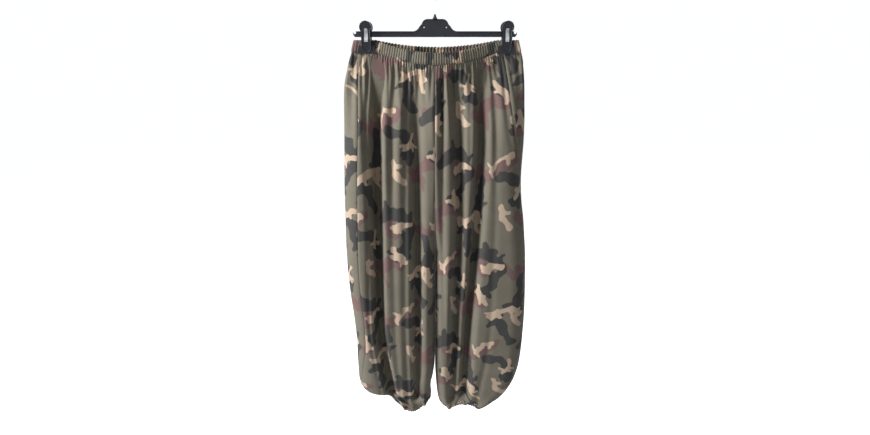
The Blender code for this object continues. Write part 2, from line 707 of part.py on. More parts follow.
def make_hook(collection, steel):
    curve = bpy.data.curves.new("hanger_hook", "CURVE")
    curve.dimensions = "3D"
    curve.bevel_depth = WIRE / 2
    curve.bevel_resolution = 2
    curve.use_fill_caps = True
    path = hook_path()
    spline = curve.splines.new("POLY")
    spline.points.add(len(path) - 1)
    for point, (x, z) in zip(spline.points, path):
        point.co = (x, 0.0, z, 1.0)
    curve.materials.append(steel)
    collection.objects.link(bpy.data.objects.new("hanger_hook", curve))


def lever_outline():
    """The tongue and round head of a clip's lever, z from the jaw's lower edge."""
    head, neck = 0.0137, 0.0104
    waist = math.degrees(math.acos(neck / head))
    outline = arc(0.0, 0.0565, head, -waist, 180 + waist, 15)
    outline += arc(0.0, 0.0135, 0.0112, 180, 360, 9)
    return outline


def slot_outline():
    half = SLOT_WIDTH / 2
    return [(-half, SLOT_BOTTOM), (half, SLOT_BOTTOM), *arc(0.0, SLOT_TOP - half, half, 0, 180, 5)]


def clip_lever(leg, face, collection, cutters, plastic):
    """One lever: its leaning tongue united with its jaw."""
    out = -1 if face == "front" else 1
    x = leg * CLIP_X[leg]
    name = f"{SIDE_NAME[leg]}_clip_{face}"
    tongue = flat_plate(f"{name}_tongue", [lever_outline(), slot_outline()], LEVER_THICK, plastic)
    tongue.data.transform(Matrix.Rotation(-out * LEVER_LEAN, 4, "X"))
    half, top = JAW_HALF, 0.0180
    jaw_shape = [(-half, 0.0), (half, 0.0), (half - 0.0035, top), (-half + 0.0035, top)]
    jaw = flat_plate(name, [jaw_shape], JAW_THICK, plastic)
    jaw.location = (x, out * (JAW_GAP + JAW_THICK / 2), CLIP_BOTTOM)
    tongue.location = (x, out * (JAW_GAP + 0.0006 + LEVER_THICK / 2), CLIP_BOTTOM)
    return join(jaw, [tongue], collection, cutters)


def spring_path():
    """The middle of the spring's strip on one side, as (y, z), from the top of its bend outwards."""
    radius = FLANGE_DEPTH / 2 + SEAM_GAP + SPRING_THICK / 2 + 0.0001
    bend = [(radius * math.sin(a), BAR_TOP + radius * math.cos(a)) for a in np.linspace(0, math.pi / 2, 6)]
    face = JAW_GAP + 0.0006 + LEVER_THICK / math.cos(LEVER_LEAN) + SEAM_GAP + SPRING_THICK / 2
    leaves_slot = CLIP_BOTTOM + SLOT_BOTTOM + 0.0007
    heights = (leaves_slot, leaves_slot - 0.0038)
    rest = [(face + (z - CLIP_BOTTOM) * math.tan(LEVER_LEAN), z) for z in heights]
    return bend + rest


def clip_spring(leg, collection, steel):
    """The inverted U of flat steel that straddles the bar and presses the levers together."""
    side = spring_path()
    path = [(-y, z) for y, z in side[::-1]] + side[1:]
    x = leg * CLIP_X[leg]
    half = SPRING_WIDTH / 2
    points = np.array([[(x - half, y, z), (x + half, y, z)] for y, z in path])
    sheet_object(f"{SIDE_NAME[leg]}_clip_spring", points, SPRING_THICK, steel, collection)


def make_hanger(collection, cutters):
    plastic = plain_material("black_plastic", (0.018, 0.019, 0.022), 0.45)
    steel = plain_material("bright_steel", (0.62, 0.63, 0.65), 0.25, 1.0)
    make_bar(collection, cutters, plastic)
    make_hook(collection, steel)
    for leg in (LEFT, RIGHT):
        for face in ("front", "back"):
            clip_lever(leg, face, collection, cutters, plastic)
        clip_spring(leg, collection, steel)


def main():
    clear_scene()
    trousers = new_collection("harem_trousers_on_hanger")
    cutters = new_collection("cutters")
    make_cloth(trousers)
    make_hanger(trousers, cutters)


main()
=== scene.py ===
"""Looks for the harem trousers on their clip hanger: the fine cloth with its folds, ruches, seams and print,
and the hanger's plastic and steel.

The cloth follows the same path round the body as the solids do. "left" and "right" are the wearer's: the
left leg is at +X and the front faces -Y. Metres throughout.
"""

import collections
import math

import bmesh
import bpy
import numpy as np
from mathutils import Matrix, Vector


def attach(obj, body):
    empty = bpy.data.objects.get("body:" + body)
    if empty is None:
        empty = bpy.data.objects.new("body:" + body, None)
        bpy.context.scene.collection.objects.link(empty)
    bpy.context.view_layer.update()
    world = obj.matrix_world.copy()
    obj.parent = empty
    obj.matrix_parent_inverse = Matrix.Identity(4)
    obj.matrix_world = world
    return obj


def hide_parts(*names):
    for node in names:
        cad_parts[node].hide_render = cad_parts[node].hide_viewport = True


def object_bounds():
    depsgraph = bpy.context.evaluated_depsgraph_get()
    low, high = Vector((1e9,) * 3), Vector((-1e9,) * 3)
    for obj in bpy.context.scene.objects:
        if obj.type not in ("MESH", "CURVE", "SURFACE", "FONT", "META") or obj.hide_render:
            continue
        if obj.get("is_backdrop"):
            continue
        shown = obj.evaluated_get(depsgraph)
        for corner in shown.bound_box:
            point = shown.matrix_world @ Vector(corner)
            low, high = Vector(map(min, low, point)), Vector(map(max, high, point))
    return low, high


LEFT, RIGHT = 1, -1
SIDE_NAME = {LEFT: "left", RIGHT: "right"}
FRONT, BACK = "front", "back"

# ---------------------------------------------------------------- sizes shared with the solids

CLOTH = 0.0015  # wall of a leg panel's solid
SEAM_GAP = 0.0003
CASING_GAP = 0.0006

WAIST_TOP = -0.1240  # top edge of the casing under the clips
WAIST_BAND = 0.0245
WAIST_RUCHES = 58  # on the front, and as many on the back
SAG = {FRONT: 0.0265, BACK: 0.0145}  # of the top edge, half way between the clips
WAIST_DEPTH = {FRONT: 0.026, BACK: 0.022}  # how far the waist stands open, from y = 0
PINCH = 0.0026  # from y = 0 to the middle of the wall, under a clip
CLIP_X = {LEFT: 0.162, RIGHT: 0.1545}
JAW_HALF = 0.0215
WAIST_END = {LEFT: 0.188, RIGHT: 0.182}  # of the top edge
WAIST_SHAPE_ENDS = -0.34  # below this height the clips no longer shape the cloth
SAG_ENDS = -0.42

SEAT_CURVE_TOP = -0.40  # from here the centre seams curve in to the crotch
CROTCH = -0.6325
CREST = 0.036  # how far in from the inseam a leg reaches its full depth
SIDE_ROUND = 0.046  # the same at the side

CUFF_RUCHES = 38
CUFF_HEIGHT = 0.018
# How far each cuff is drawn up in its middle, or minus where it hangs lower there
CUFF_ARCH = {(FRONT, LEFT): 0.018, (BACK, LEFT): 0.004, (FRONT, RIGHT): -0.022, (BACK, RIGHT): -0.016}
CUFF_ARCH_STARTS = -1.05
ANKLE_STARTS = -1.0
ANKLE_FLARE = 0.060  # a leg this much wider than its casing has its folds' full depth
FOLD_GROWS = 0.045  # how far below the waistband a large fold has its full depth

BAR_TOP = -0.1045
BAR_WEB = 0.0032
PLATE_TOP = -0.079
PLATE_CORNER = 0.014  # radius of the middle plate's upper corners
PLATE_CORNER_X = 0.0165
PLATE_FILLET = 0.016  # radius of the hollow where the plate runs out into the bar
PLATE_FILLET_X = 0.0500
CLIP_BOTTOM = -0.1525
JAW_GAP = 0.0049  # from y = 0 to a jaw's inner face
TONGUE_BACK = 0.0006  # from a jaw's inner face to its tongue's
LEVER_THICK = 0.0024
LEVER_LEAN = math.radians(7.0)
# Radii of a lever's head and foot, with their centres' heights above the jaw's lower edge
LEVER_HEAD, LEVER_HEAD_UP = 0.0137, 0.0565
LEVER_FOOT, LEVER_FOOT_UP = 0.0112, 0.0135
LEVER_NECK = 0.0104  # half width

TOP_SECTION = WAIST_TOP - WAIST_BAND - CASING_GAP
WAIST_SHAPE_STARTS = TOP_SECTION - 0.008
# One row for each section of a leg: the height, how far the cloth reaches from x = 0 on its inner and its
# outer side, and how far it stands from y = 0 at the front and at the back.
Section = collections.namedtuple("Section", "height inner outer front back")
SECTIONS = {
    LEFT: (
        Section(TOP_SECTION, 0.000, 0.1955, 0.028, 0.024),
        Section(-0.178, 0.000, 0.200, 0.031, 0.027),
        Section(-0.212, 0.000, 0.204, 0.034, 0.031),
        Section(-0.255, 0.000, 0.208, 0.037, 0.035),
        Section(-0.310, 0.000, 0.212, 0.040, 0.038),
        Section(-0.370, 0.000, 0.214, 0.042, 0.041),
        Section(-0.430, 0.000, 0.213, 0.043, 0.043),
        Section(-0.490, 0.000, 0.217, 0.044, 0.044),
        Section(-0.550, 0.000, 0.226, 0.045, 0.045),
        Section(-0.600, 0.000, 0.232, 0.045, 0.045),
        Section(-0.636, 0.000, 0.236, 0.045, 0.045),
        Section(-0.690, 0.000, 0.240, 0.045, 0.045),
        Section(-0.845, 0.000, 0.246, 0.045, 0.045),
        Section(-0.920, 0.000, 0.245, 0.044, 0.044),
        Section(-0.985, 0.000, 0.241, 0.043, 0.043),
        Section(-1.035, 0.002, 0.231, 0.041, 0.041),
        Section(-1.078, 0.005, 0.213, 0.038, 0.038),
        Section(-1.112, 0.010, 0.190, 0.034, 0.034),
        Section(-1.132, 0.017, 0.167, 0.030, 0.030),
        Section(-1.140, 0.023, 0.153, 0.0265, 0.0265),
        Section(-1.1285, 0.0245, 0.1455, 0.0235, 0.0235),
        Section(-1.1285, 0.029, 0.141, 0.018, 0.018),
    ),
    RIGHT: (
        Section(TOP_SECTION, 0.000, 0.190, 0.028, 0.024),
        Section(-0.178, 0.000, 0.200, 0.031, 0.027),
        Section(-0.212, 0.000, 0.207, 0.034, 0.031),
        Section(-0.255, 0.000, 0.212, 0.037, 0.035),
        Section(-0.310, 0.000, 0.216, 0.040, 0.038),
        Section(-0.370, 0.000, 0.220, 0.042, 0.041),
        Section(-0.430, 0.000, 0.224, 0.043, 0.043),
        Section(-0.490, 0.000, 0.227, 0.044, 0.044),
        Section(-0.550, 0.000, 0.229, 0.045, 0.045),
        Section(-0.600, 0.000, 0.231, 0.045, 0.045),
        Section(-0.636, 0.000, 0.232, 0.045, 0.045),
        Section(-0.690, 0.000, 0.232, 0.045, 0.045),
        Section(-0.765, 0.000, 0.229, 0.045, 0.045),
        Section(-0.845, 0.000, 0.223, 0.045, 0.045),
        Section(-0.920, 0.000, 0.220, 0.045, 0.045),
        Section(-0.985, 0.001, 0.221, 0.044, 0.044),
        Section(-1.030, 0.006, 0.221, 0.043, 0.043),
        Section(-1.060, 0.012, 0.217, 0.040, 0.040),
        Section(-1.080, 0.013, 0.203, 0.037, 0.037),
        Section(-1.090, 0.013, 0.166, 0.034, 0.034),
        Section(-1.101, 0.0135, 0.136, 0.033, 0.033),
        Section(-1.114, 0.014, 0.126, 0.031, 0.031),
        Section(-1.120, 0.0155, 0.1225, 0.0295, 0.0295),
        Section(-1.1105, 0.0165, 0.1205, 0.029, 0.029),
        Section(-1.1105, 0.021, 0.116, 0.024, 0.024),
    ),
}
# The side seams: how far in from the side's outermost line they run, on the front, or minus on the back.
SEAM_HEIGHTS = (TOP_SECTION, -0.20, -0.33, -0.45, -0.60, -0.90, -1.07)
SEAM_INSET = {
    LEFT: (0.040, 0.036, 0.026, 0.003, -0.006, -0.008, 0.000),
    RIGHT: (0.015, 0.028, 0.037, 0.037, 0.036, 0.030, 0.004),
}

# ---------------------------------------------------------------- the finer cloth

PANEL_COLUMNS = 150
# How far apart the rows are, at these lengths down the cloth
ROW_STEP = ((0.0, 0.0022), (0.09, 0.0032), (0.20, 0.0045), (0.86, 0.0045), (0.96, 0.0024), (1.20, 0.0018))
RING_STEPS = 240  # along one face of the cloth's path
SLOPE_REACH = 0.0015  # to both sides of a point, where the path's direction is measured
LEAST_SLANT = 0.3
SHEET_WALL = 0.0008
SHEETS_APART = 0.00004  # between left and right at the centre seams and where the legs touch
FACE_TO_FACE = 0.85  # the seat's share at which the two no longer meet edge to edge but face to face
SEAM_TUCK = 0.0011
SEAM_TUCK_WIDTH = 0.0028
SEAM_FLAT = (-0.002, 0.012)  # between these distances from a seam the folds come to full depth
FOLD_FROM_SIDE = 0.004
CLIP_HOLD = 0.75  # how flat a clip's jaws press the waves of the cloth
CLIP_HOLD_HALF = 0.026
CLIP_HOLD_ENDS, CLIP_HOLD_FULL = -0.20, -0.15  # heights

# One row for each fold: its distance from x = 0 at five heights, its half width, its depth at the same
# heights, and how square it is: 2 for a round valley, more for steep sides and a flat bottom.
FOLD_HEIGHTS = (-0.17, -0.33, -0.56, -0.85, -1.10)
Fold = collections.namedtuple("Fold", "places half_width depths square", defaults=(2.0,))
FOLDS = {
    (FRONT, RIGHT): (
        Fold((0.042, 0.045, 0.045, 0.048, 0.050), 0.0145, (0.014, 0.028, 0.032, 0.034, 0.026), 2.1),
        Fold((0.068, 0.070, 0.075, 0.080, 0.080), 0.0090, (0.010, 0.010, 0.005, 0.005, 0.009)),
        Fold((0.098, 0.102, 0.106, 0.108, 0.100), 0.0090, (0.012, 0.011, 0.004, 0.003, 0.003)),
        Fold((0.128, 0.139, 0.145, 0.150, 0.124), 0.0145, (0.014, 0.036, 0.043, 0.043, 0.026), 3.2),
        Fold((0.150, 0.162, 0.166, 0.176, 0.150), 0.0065, (0.005, 0.009, 0.008, 0.004, 0.002)),
    ),
    (FRONT, LEFT): (
        Fold((0.017, 0.016, 0.018, 0.024, 0.038), 0.0075, (0.008, 0.010, 0.006, 0.002, 0.002)),
        Fold((0.046, 0.056, 0.060, 0.055, 0.050), 0.0130, (0.014, 0.026, 0.031, 0.034, 0.024), 2.1),
        Fold((0.079, 0.083, 0.083, 0.072, 0.066), 0.0080, (0.008, 0.005, 0.002, 0.002, 0.002)),
        Fold((0.109, 0.110, 0.105, 0.091, 0.083), 0.0140, (0.014, 0.028, 0.036, 0.041, 0.030), 2.4),
        Fold((0.137, 0.143, 0.150, 0.150, 0.122), 0.0090, (0.006, 0.005, 0.002, 0.002, 0.004)),
    ),
    (BACK, RIGHT): (
        Fold((0.030, 0.033, 0.036, 0.044, 0.046), 0.0090, (0.006, 0.009, 0.008, 0.012, 0.010)),
        Fold((0.064, 0.072, 0.084, 0.088, 0.072), 0.0120, (0.007, 0.013, 0.016, 0.018, 0.010)),
        Fold((0.101, 0.112, 0.122, 0.130, 0.098), 0.0090, (0.005, 0.006, 0.003, 0.002, 0.003)),
        Fold((0.136, 0.150, 0.163, 0.166, 0.116), 0.0110, (0.006, 0.010, 0.014, 0.012, 0.004)),
    ),
    (BACK, LEFT): (
        Fold((0.026, 0.030, 0.040, 0.050, 0.052), 0.0100, (0.006, 0.010, 0.011, 0.013, 0.008)),
        Fold((0.058, 0.066, 0.078, 0.092, 0.080), 0.0090, (0.005, 0.006, 0.004, 0.003, 0.003)),
        Fold((0.092, 0.108, 0.124, 0.132, 0.106), 0.0125, (0.007, 0.014, 0.017, 0.018, 0.010)),
        Fold((0.128, 0.148, 0.170, 0.182, 0.134), 0.0100, (0.006, 0.008, 0.007, 0.006, 0.003)),
    ),
}

# One row for each layer of gathers that the waistband throws into the panels: how far apart they are, how
# deep, and the heights at which they start, are deepest and have gone.
Gather = collections.namedtuple("Gather", "spacing depth starts deepest gone")
GATHERS = (
    Gather(0.0066, 0.0012, -0.149, -0.151, -0.190),
    Gather(0.0150, 0.0020, -0.150, -0.172, -0.270),
    Gather(0.0310, 0.0026, -0.160, -0.225, -0.420),
)
GATHER_LEAD = 0.0035  # how far above its start a layer begins to swell
# The same above the ankle's casing, with the length of cloth along which each one fades.
AnkleGather = collections.namedtuple("AnkleGather", "spacing depth fades")
ANKLE_GATHERS = (
    AnkleGather(0.0070, 0.0015, 0.024),
    AnkleGather(0.0150, 0.0034, 0.060),
    AnkleGather(0.0310, 0.0052, 0.120),
)
ANKLE_WIDTH = 0.13  # of a panel, where its ankle gathers are counted
PANEL_SEED = {(FRONT, LEFT): 11, (FRONT, RIGHT): 23, (BACK, LEFT): 37, (BACK, RIGHT): 41}
ANKLE_SEED = 7  # added to the panel's

# The elastic gathers more cloth than the modelled waves take up: the cut width over the modelled one at each
# casing, and the length of cloth along which that goes.
WAIST_GATHERED = 1.40
ANKLE_GATHERED = 1.45
WAIST_GATHER_FADES = 0.12
ANKLE_GATHER_FADES = 0.07


def smooth(start, end, value):
    """0 at start, 1 at end, with no corner at either."""
    share = np.clip((value - start) / (end - start), 0.0, 1.0)
    return share * share * (3.0 - 2.0 * share)


def eased(places, values, place):
    """A smooth curve through the values, which never passes beyond them. Places ascend."""
    x, y = np.array(places, float), np.array(values, float)
    step = np.diff(x)
    slope = np.diff(y) / step
    tangent = np.zeros_like(y)
    tangent[0], tangent[-1] = slope[0], slope[-1]
    before, after = slope[:-1], slope[1:]
    same = before * after > 0
    near = np.where(same, before, 1.0)
    far = np.where(same, after, 1.0)
    a, b = 2 * step[1:] + step[:-1], step[1:] + 2 * step[:-1]
    tangent[1:-1] = np.where(same, (a + b) / (a / near + b / far), 0.0)
    place = np.clip(place, x[0], x[-1])
    i = np.clip(np.searchsorted(x, place, side="right") - 1, 0, len(x) - 2)
    t = (place - x[i]) / step[i]
    h = step[i]
    keep = (1 + 2 * t) * (1 - t) ** 2 * y[i] + t * (1 - t) ** 2 * h * tangent[i]
    return keep + t**2 * (3 - 2 * t) * y[i + 1] + t**2 * (t - 1) * h * tangent[i + 1]


def down(heights, values, height):
    """The same for heights that run downwards."""
    return eased([-h for h in heights], values, -np.asarray(height, float))


# ---------------------------------------------------------------- the path of the cloth round the body


def section_rows(leg):
    """Fine rows down a leg: each section's sizes, and the length of cloth so far."""
    table = np.array(SECTIONS[leg])
    steps = np.hypot(np.diff(table[:, 0]), np.hypot(np.diff(table[:, 2]), np.diff(table[:, 3])))
    along = np.concatenate([[0.0], np.cumsum(steps)])
    places = [0.0]
    starts, sizes = zip(*ROW_STEP)
    while places[-1] < along[-1]:
        places.append(places[-1] + np.interp(places[-1], starts, sizes))
    places = np.array(places) * along[-1] / places[-1]
    columns = [eased(along, table[:, k], places) for k in range(table.shape[1])]
    return [Section(*row) for row in zip(*columns)], places


def seat_share(height):
    """How much of the full depth the centre seam keeps: 1 above the seat, 0 at the crotch and below."""
    fallen = np.clip((SEAT_CURVE_TOP - height) / (SEAT_CURVE_TOP - CROTCH), 0.0, 1.0)
    return math.sqrt(1.0 - fallen**2)


def body_depth(reach, section, full, share):
    """Depth from y = 0 at each reach, on the face of a leg that hangs free."""
    seam_depth = full * share
    inward = np.clip(1.0 - (reach - section.inner) / CREST, 0.0, 1.0)
    rise = np.sqrt(1.0 - inward**2)
    outward = np.clip((reach - (section.outer - SIDE_ROUND)) / SIDE_ROUND, 0.0, 1.0)
    fall = np.sqrt(1.0 - outward**2)
    return (seam_depth + (full - seam_depth) * rise) * fall


def waist_depth(leg, reach, outer, face):
    """Depth from y = 0 at each reach, where the clips hold the waistband."""
    reach = reach * WAIST_END[leg] / outer
    jaw_inner = CLIP_X[leg] - JAW_HALF
    jaw_outer = CLIP_X[leg] + JAW_HALF
    bow = 0.5 + 0.5 * np.cos(math.pi * np.clip(reach / jaw_inner, 0.0, 1.0))
    depth = PINCH + (WAIST_DEPTH[face] - PINCH) * bow**0.8
    past = np.clip((reach - jaw_outer) / (WAIST_END[leg] - jaw_outer), 0.0, 1.0)
    return depth * (1.0 + 0.5 * np.sin(math.pi * past)) * np.sqrt(1.0 - past**2)


Ring = collections.namedtuple("Ring", "x y arc side_arc reach_arc")


def half_ring(leg, section):
    """The path from the front centre by the side to the back centre, as x, y and length so far."""
    share = seat_share(section.height)
    hang = smooth(WAIST_SHAPE_STARTS, WAIST_SHAPE_ENDS, section.height)
    edge = SHEETS_APART / 2 + SHEET_WALL / 2 * smooth(1.0, FACE_TO_FACE, share)
    inner = max(section.inner, edge)
    steps = (1.0 - np.cos(np.linspace(0.0, math.pi, RING_STEPS + 1))) / 2.0
    reach = inner + (section.outer - inner) * steps
    placed = section._replace(inner=inner)
    depths = {}
    for face, full in ((FRONT, section.front), (BACK, section.back)):
        depth = (1 - hang) * waist_depth(leg, reach, section.outer, face)
        depth = depth + hang * body_depth(reach, placed, full, share)
        depth[0] = max(depth[0], SEAM_GAP / 2)
        depths[face] = depth
    x = leg * np.concatenate([reach, reach[-2::-1]])
    y = np.concatenate([-depths[FRONT], depths[BACK][-2::-1]])
    arc = np.concatenate([[0.0], np.cumsum(np.hypot(np.diff(x), np.diff(y)))])
    half = len(reach)
    return Ring(x, y, arc, arc[half - 1], {FRONT: arc[:half], BACK: arc[half - 1 :][::-1]})


def seam_arc(leg, ring, height):
    """Where the side seam lies along the half ring."""
    inset = float(down(SEAM_HEIGHTS, SEAM_INSET[leg], height))
    face = ring.reach_arc[FRONT if inset > 0 else BACK]
    reach = np.abs(np.interp(face, ring.arc, ring.x))
    return float(np.interp(reach[-1] - abs(inset), reach, face))


def sag(x, height, on_front):
    """How far the cloth hangs below its nominal height, between the clips."""
    first = -(CLIP_X[RIGHT] - JAW_HALF)
    last = CLIP_X[LEFT] - JAW_HALF
    along = np.clip((x - first) / (last - first), 0.0, 1.0)
    drop = np.where(on_front, SAG[FRONT], SAG[BACK]) * 4.0 * along * (1.0 - along)
    return drop * smooth(SAG_ENDS, TOP_SECTION, height)


def ankle_lift(leg, x, height, on_front):
    """How far the middle of the ankle is drawn up, or minus where it hangs lower."""
    last = SECTIONS[leg][-1]
    across = np.clip((np.abs(x) - last.inner) / (last.outer - last.inner), 0.0, 1.0)
    arch = np.where(on_front, CUFF_ARCH[FRONT, leg], CUFF_ARCH[BACK, leg])
    return arch * np.sin(math.pi * across) ** 2 * smooth(CUFF_ARCH_STARTS, last.height, height)


def on_ring(leg, ring, arcs, height, inwards=0.0, wall=SHEET_WALL):
    """Points of the cloth at these lengths along a half ring, pushed inwards but never past y = 0."""
    x = np.interp(arcs, ring.arc, ring.x)
    y = np.interp(arcs, ring.arc, ring.y)
    before = np.maximum(arcs - SLOPE_REACH, 0.0)
    after = np.minimum(arcs + SLOPE_REACH, ring.arc[-1])
    dx = np.interp(after, ring.arc, ring.x) - np.interp(before, ring.arc, ring.x)
    dy = np.interp(after, ring.arc, ring.y) - np.interp(before, ring.arc, ring.y)
    size = np.hypot(dx, dy)
    on_front = arcs < ring.side_arc
    z = height - sag(x, height, on_front) + ankle_lift(leg, x, height, on_front)
    room = (np.abs(y) - wall / 2 - SEAM_GAP) / np.maximum(np.abs(dx) / size, LEAST_SLANT)
    inwards = np.minimum(inwards, np.maximum(room, 0.0))
    return np.stack([x - leg * dy / size * inwards, y + leg * dx / size * inwards, z], axis=1)


# ---------------------------------------------------------------- folds and gathers


def held_by_clip(leg, x):
    """How flat the jaws press the cloth: most under a clip and 0 away from it."""
    return CLIP_HOLD * np.exp(-(((np.abs(x) - CLIP_X[leg]) / CLIP_HOLD_HALF) ** 4))


def fold_share(leg, section):
    """How much of a large fold's depth is left here."""
    share = smooth(TOP_SECTION, TOP_SECTION - FOLD_GROWS, section.height)
    if section.height < ANKLE_STARTS:
        last = SECTIONS[leg][-1]
        share *= smooth(last.outer, last.outer + ANKLE_FLARE, section.outer) ** 2
    return share


def crease(q, square):
    """A fold's cross section: a valley with soft shoulders."""
    return np.exp(-(np.abs(q) ** square))


def uneven(count, seed, spread=0.32):
    """Wave numbers for points 0 to 1 along a panel: about this many waves, unevenly wide."""
    rng = np.random.RandomState(seed)
    widths = 1.0 + spread * (2.0 * rng.rand(max(count, 2)) - 1.0)
    ends = np.concatenate([[0.0], np.cumsum(widths)])
    return ends / ends[-1], np.arange(len(ends)), 0.55 + 0.9 * rng.rand(len(ends))


def wave_along(share, table):
    """A row of ridges and narrower valleys, each of its own width and depth: 1 in a valley, -1 on a ridge."""
    ends, numbers, strengths = table
    phase = np.interp(share, ends, numbers)
    strength = np.interp(share, ends, strengths)
    turn = np.cos(2.0 * math.pi * phase)
    return -strength * np.sign(turn) * np.abs(turn) ** np.where(turn > 0, 0.8, 1.25)


def panel_inwards(leg, face, section, along_left, ring, arcs, share, tables):
    """How far the folds and gathers push each point of this row inwards."""
    inwards = np.zeros(len(arcs))
    places = np.abs(np.interp(ring.reach_arc[face], ring.arc, ring.x))
    freed = fold_share(leg, section)
    for fold in FOLDS[face, leg]:
        place = float(down(FOLD_HEIGHTS, fold.places, section.height))
        middle = float(np.interp(min(place, places[-1] - FOLD_FROM_SIDE), places, ring.reach_arc[face]))
        depth = freed * float(down(FOLD_HEIGHTS, fold.depths, section.height))
        inwards += depth * crease((arcs - middle) / fold.half_width, fold.square)
    x = np.interp(arcs, ring.arc, ring.x)
    free = 1.0 - held_by_clip(leg, x) * smooth(CLIP_HOLD_ENDS, CLIP_HOLD_FULL, section.height)
    for layer, table in zip(GATHERS, tables["waist"]):
        size = smooth(layer.starts + GATHER_LEAD, layer.deepest, section.height)
        size = size * smooth(layer.gone, layer.deepest, section.height)
        inwards += layer.depth * size * free * wave_along(share, table)
    for layer, table in zip(ANKLE_GATHERS, tables["ankle"]):
        size = smooth(layer.fades, 0.15 * layer.fades, along_left)
        inwards += layer.depth * size * wave_along(share, table)
    edge = np.minimum(arcs - arcs[0], arcs[-1] - arcs)
    inwards *= smooth(*SEAM_FLAT, edge)
    return inwards + SEAM_TUCK * np.exp(-((edge / SEAM_TUCK_WIDTH) ** 2))


def leg_panel(leg, face, rows, along):
    """Grid of points of one leg panel, and the flat place of each in the cut cloth."""
    rings = [half_ring(leg, section) for section in rows]
    top = rings[0].arc[-1] / 2
    seed = PANEL_SEED[face, leg]
    tables = {"waist": [], "ankle": []}
    for k, layer in enumerate(GATHERS):
        tables["waist"].append(uneven(round(top / layer.spacing), seed + k, 0.1 + 0.15 * k))
    for k, layer in enumerate(ANKLE_GATHERS):
        tables["ankle"].append(uneven(round(ANKLE_WIDTH / layer.spacing), seed + ANKLE_SEED + k, 0.3))
    share = np.linspace(0.0, 1.0, PANEL_COLUMNS + 1)
    points = []
    for section, ring, so_far in zip(rows, rings, along):
        seam = seam_arc(leg, ring, section.height)
        first, last = (0.0, seam) if face == FRONT else (seam, ring.arc[-1])
        arcs = first + (last - first) * share
        push = panel_inwards(leg, face, section, along[-1] - so_far, ring, arcs, share, tables)
        row = on_ring(leg, ring, arcs, section.height, push)
        # The centre seam's edge keeps its own x, so that left and right meet and no light comes through.
        centre = 0 if face == FRONT else -1
        row[centre, 0] = np.interp(arcs[centre], ring.arc, ring.x)
        points.append(row)
    points = np.array(points)
    steps = np.linalg.norm(np.diff(points, axis=1), axis=2)
    width = np.concatenate([np.zeros((len(rows), 1)), np.cumsum(steps, axis=1)], axis=1)
    gathered = 1.0 + (WAIST_GATHERED - 1.0) * smooth(WAIST_GATHER_FADES, 0.0, along)
    gathered = gathered + (ANKLE_GATHERED - 1.0) * smooth(ANKLE_GATHER_FADES, 0.0, along[-1] - along)
    width *= gathered[:, None]
    if face == BACK:
        width = width - width[:, -1:]
    flat = np.stack([leg * width, np.repeat(along[:, None], len(share), axis=1)], axis=2)
    return points, flat


# ---------------------------------------------------------------- casings


def ruche(phase):
    """A ruched casing's section: round ridges with narrow creases between them, 1 in a crease."""
    return 1.0 - 2.0 * np.abs(np.cos(math.pi * phase)) ** 0.75


def two_runs(ends, steps):
    """Evenly spaced places along two stretches that join, as (leg, lengths along its half ring)."""
    (leg_a, start_a, end_a), (leg_b, start_b, end_b) = ends
    length_a = abs(end_a - start_a)
    length_b = abs(end_b - start_b)
    along = np.linspace(0.0, length_a + length_b, steps)
    in_a = along <= length_a
    arcs_a = start_a + np.sign(end_a - start_a) * along[in_a]
    arcs_b = start_b + np.sign(end_b - start_b) * (along[~in_a] - length_a)
    return (leg_a, arcs_a), (leg_b, arcs_b)


RUCHE_COLUMNS = 10
# One row for each line of points up the waist casing: its height as a share of the band, the ruches' depth,
# how far they scallop the line, and the casing's thickness. The stitching pinches it near its lower edge.
CasingLine = collections.namedtuple("CasingLine", "risen ruches scallop thick")
CASING_LINES = (
    CasingLine(1.00, 0.0009, 0.0011, 0.0010),
    CasingLine(0.985, 0.0010, 0.0010, 0.0019),
    CasingLine(0.94, 0.0013, 0.0008, 0.0028),
    CasingLine(0.85, 0.0015, 0.0005, 0.0032),
    CasingLine(0.70, 0.0015, 0.0002, 0.0034),
    CasingLine(0.50, 0.0015, 0.0000, 0.0034),
    CasingLine(0.32, 0.0015, 0.0000, 0.0032),
    CasingLine(0.18, 0.0014, 0.0000, 0.0028),
    CasingLine(0.10, 0.0012, 0.0000, 0.0021),
    CasingLine(0.055, 0.0010, 0.0000, 0.0012),
    CasingLine(0.00, 0.0012, 0.0000, 0.0010),
)
CASING_LAP = 0.0008  # of the waist casing's lower edge over the panels
CASING_UP = 0.0002  # and how far the whole casing is raised
BAND_CUT = 0.270  # flat length of a quarter of the waist casing's strip
CUFF_CUT = 0.200  # and of half an ankle casing's
CUFF_DOWN = 1.04  # where the ankle casings' flat places start, below the waist's seam
WAIST_SEED = {FRONT: 5, BACK: 6}
CUFF_SEED = 31


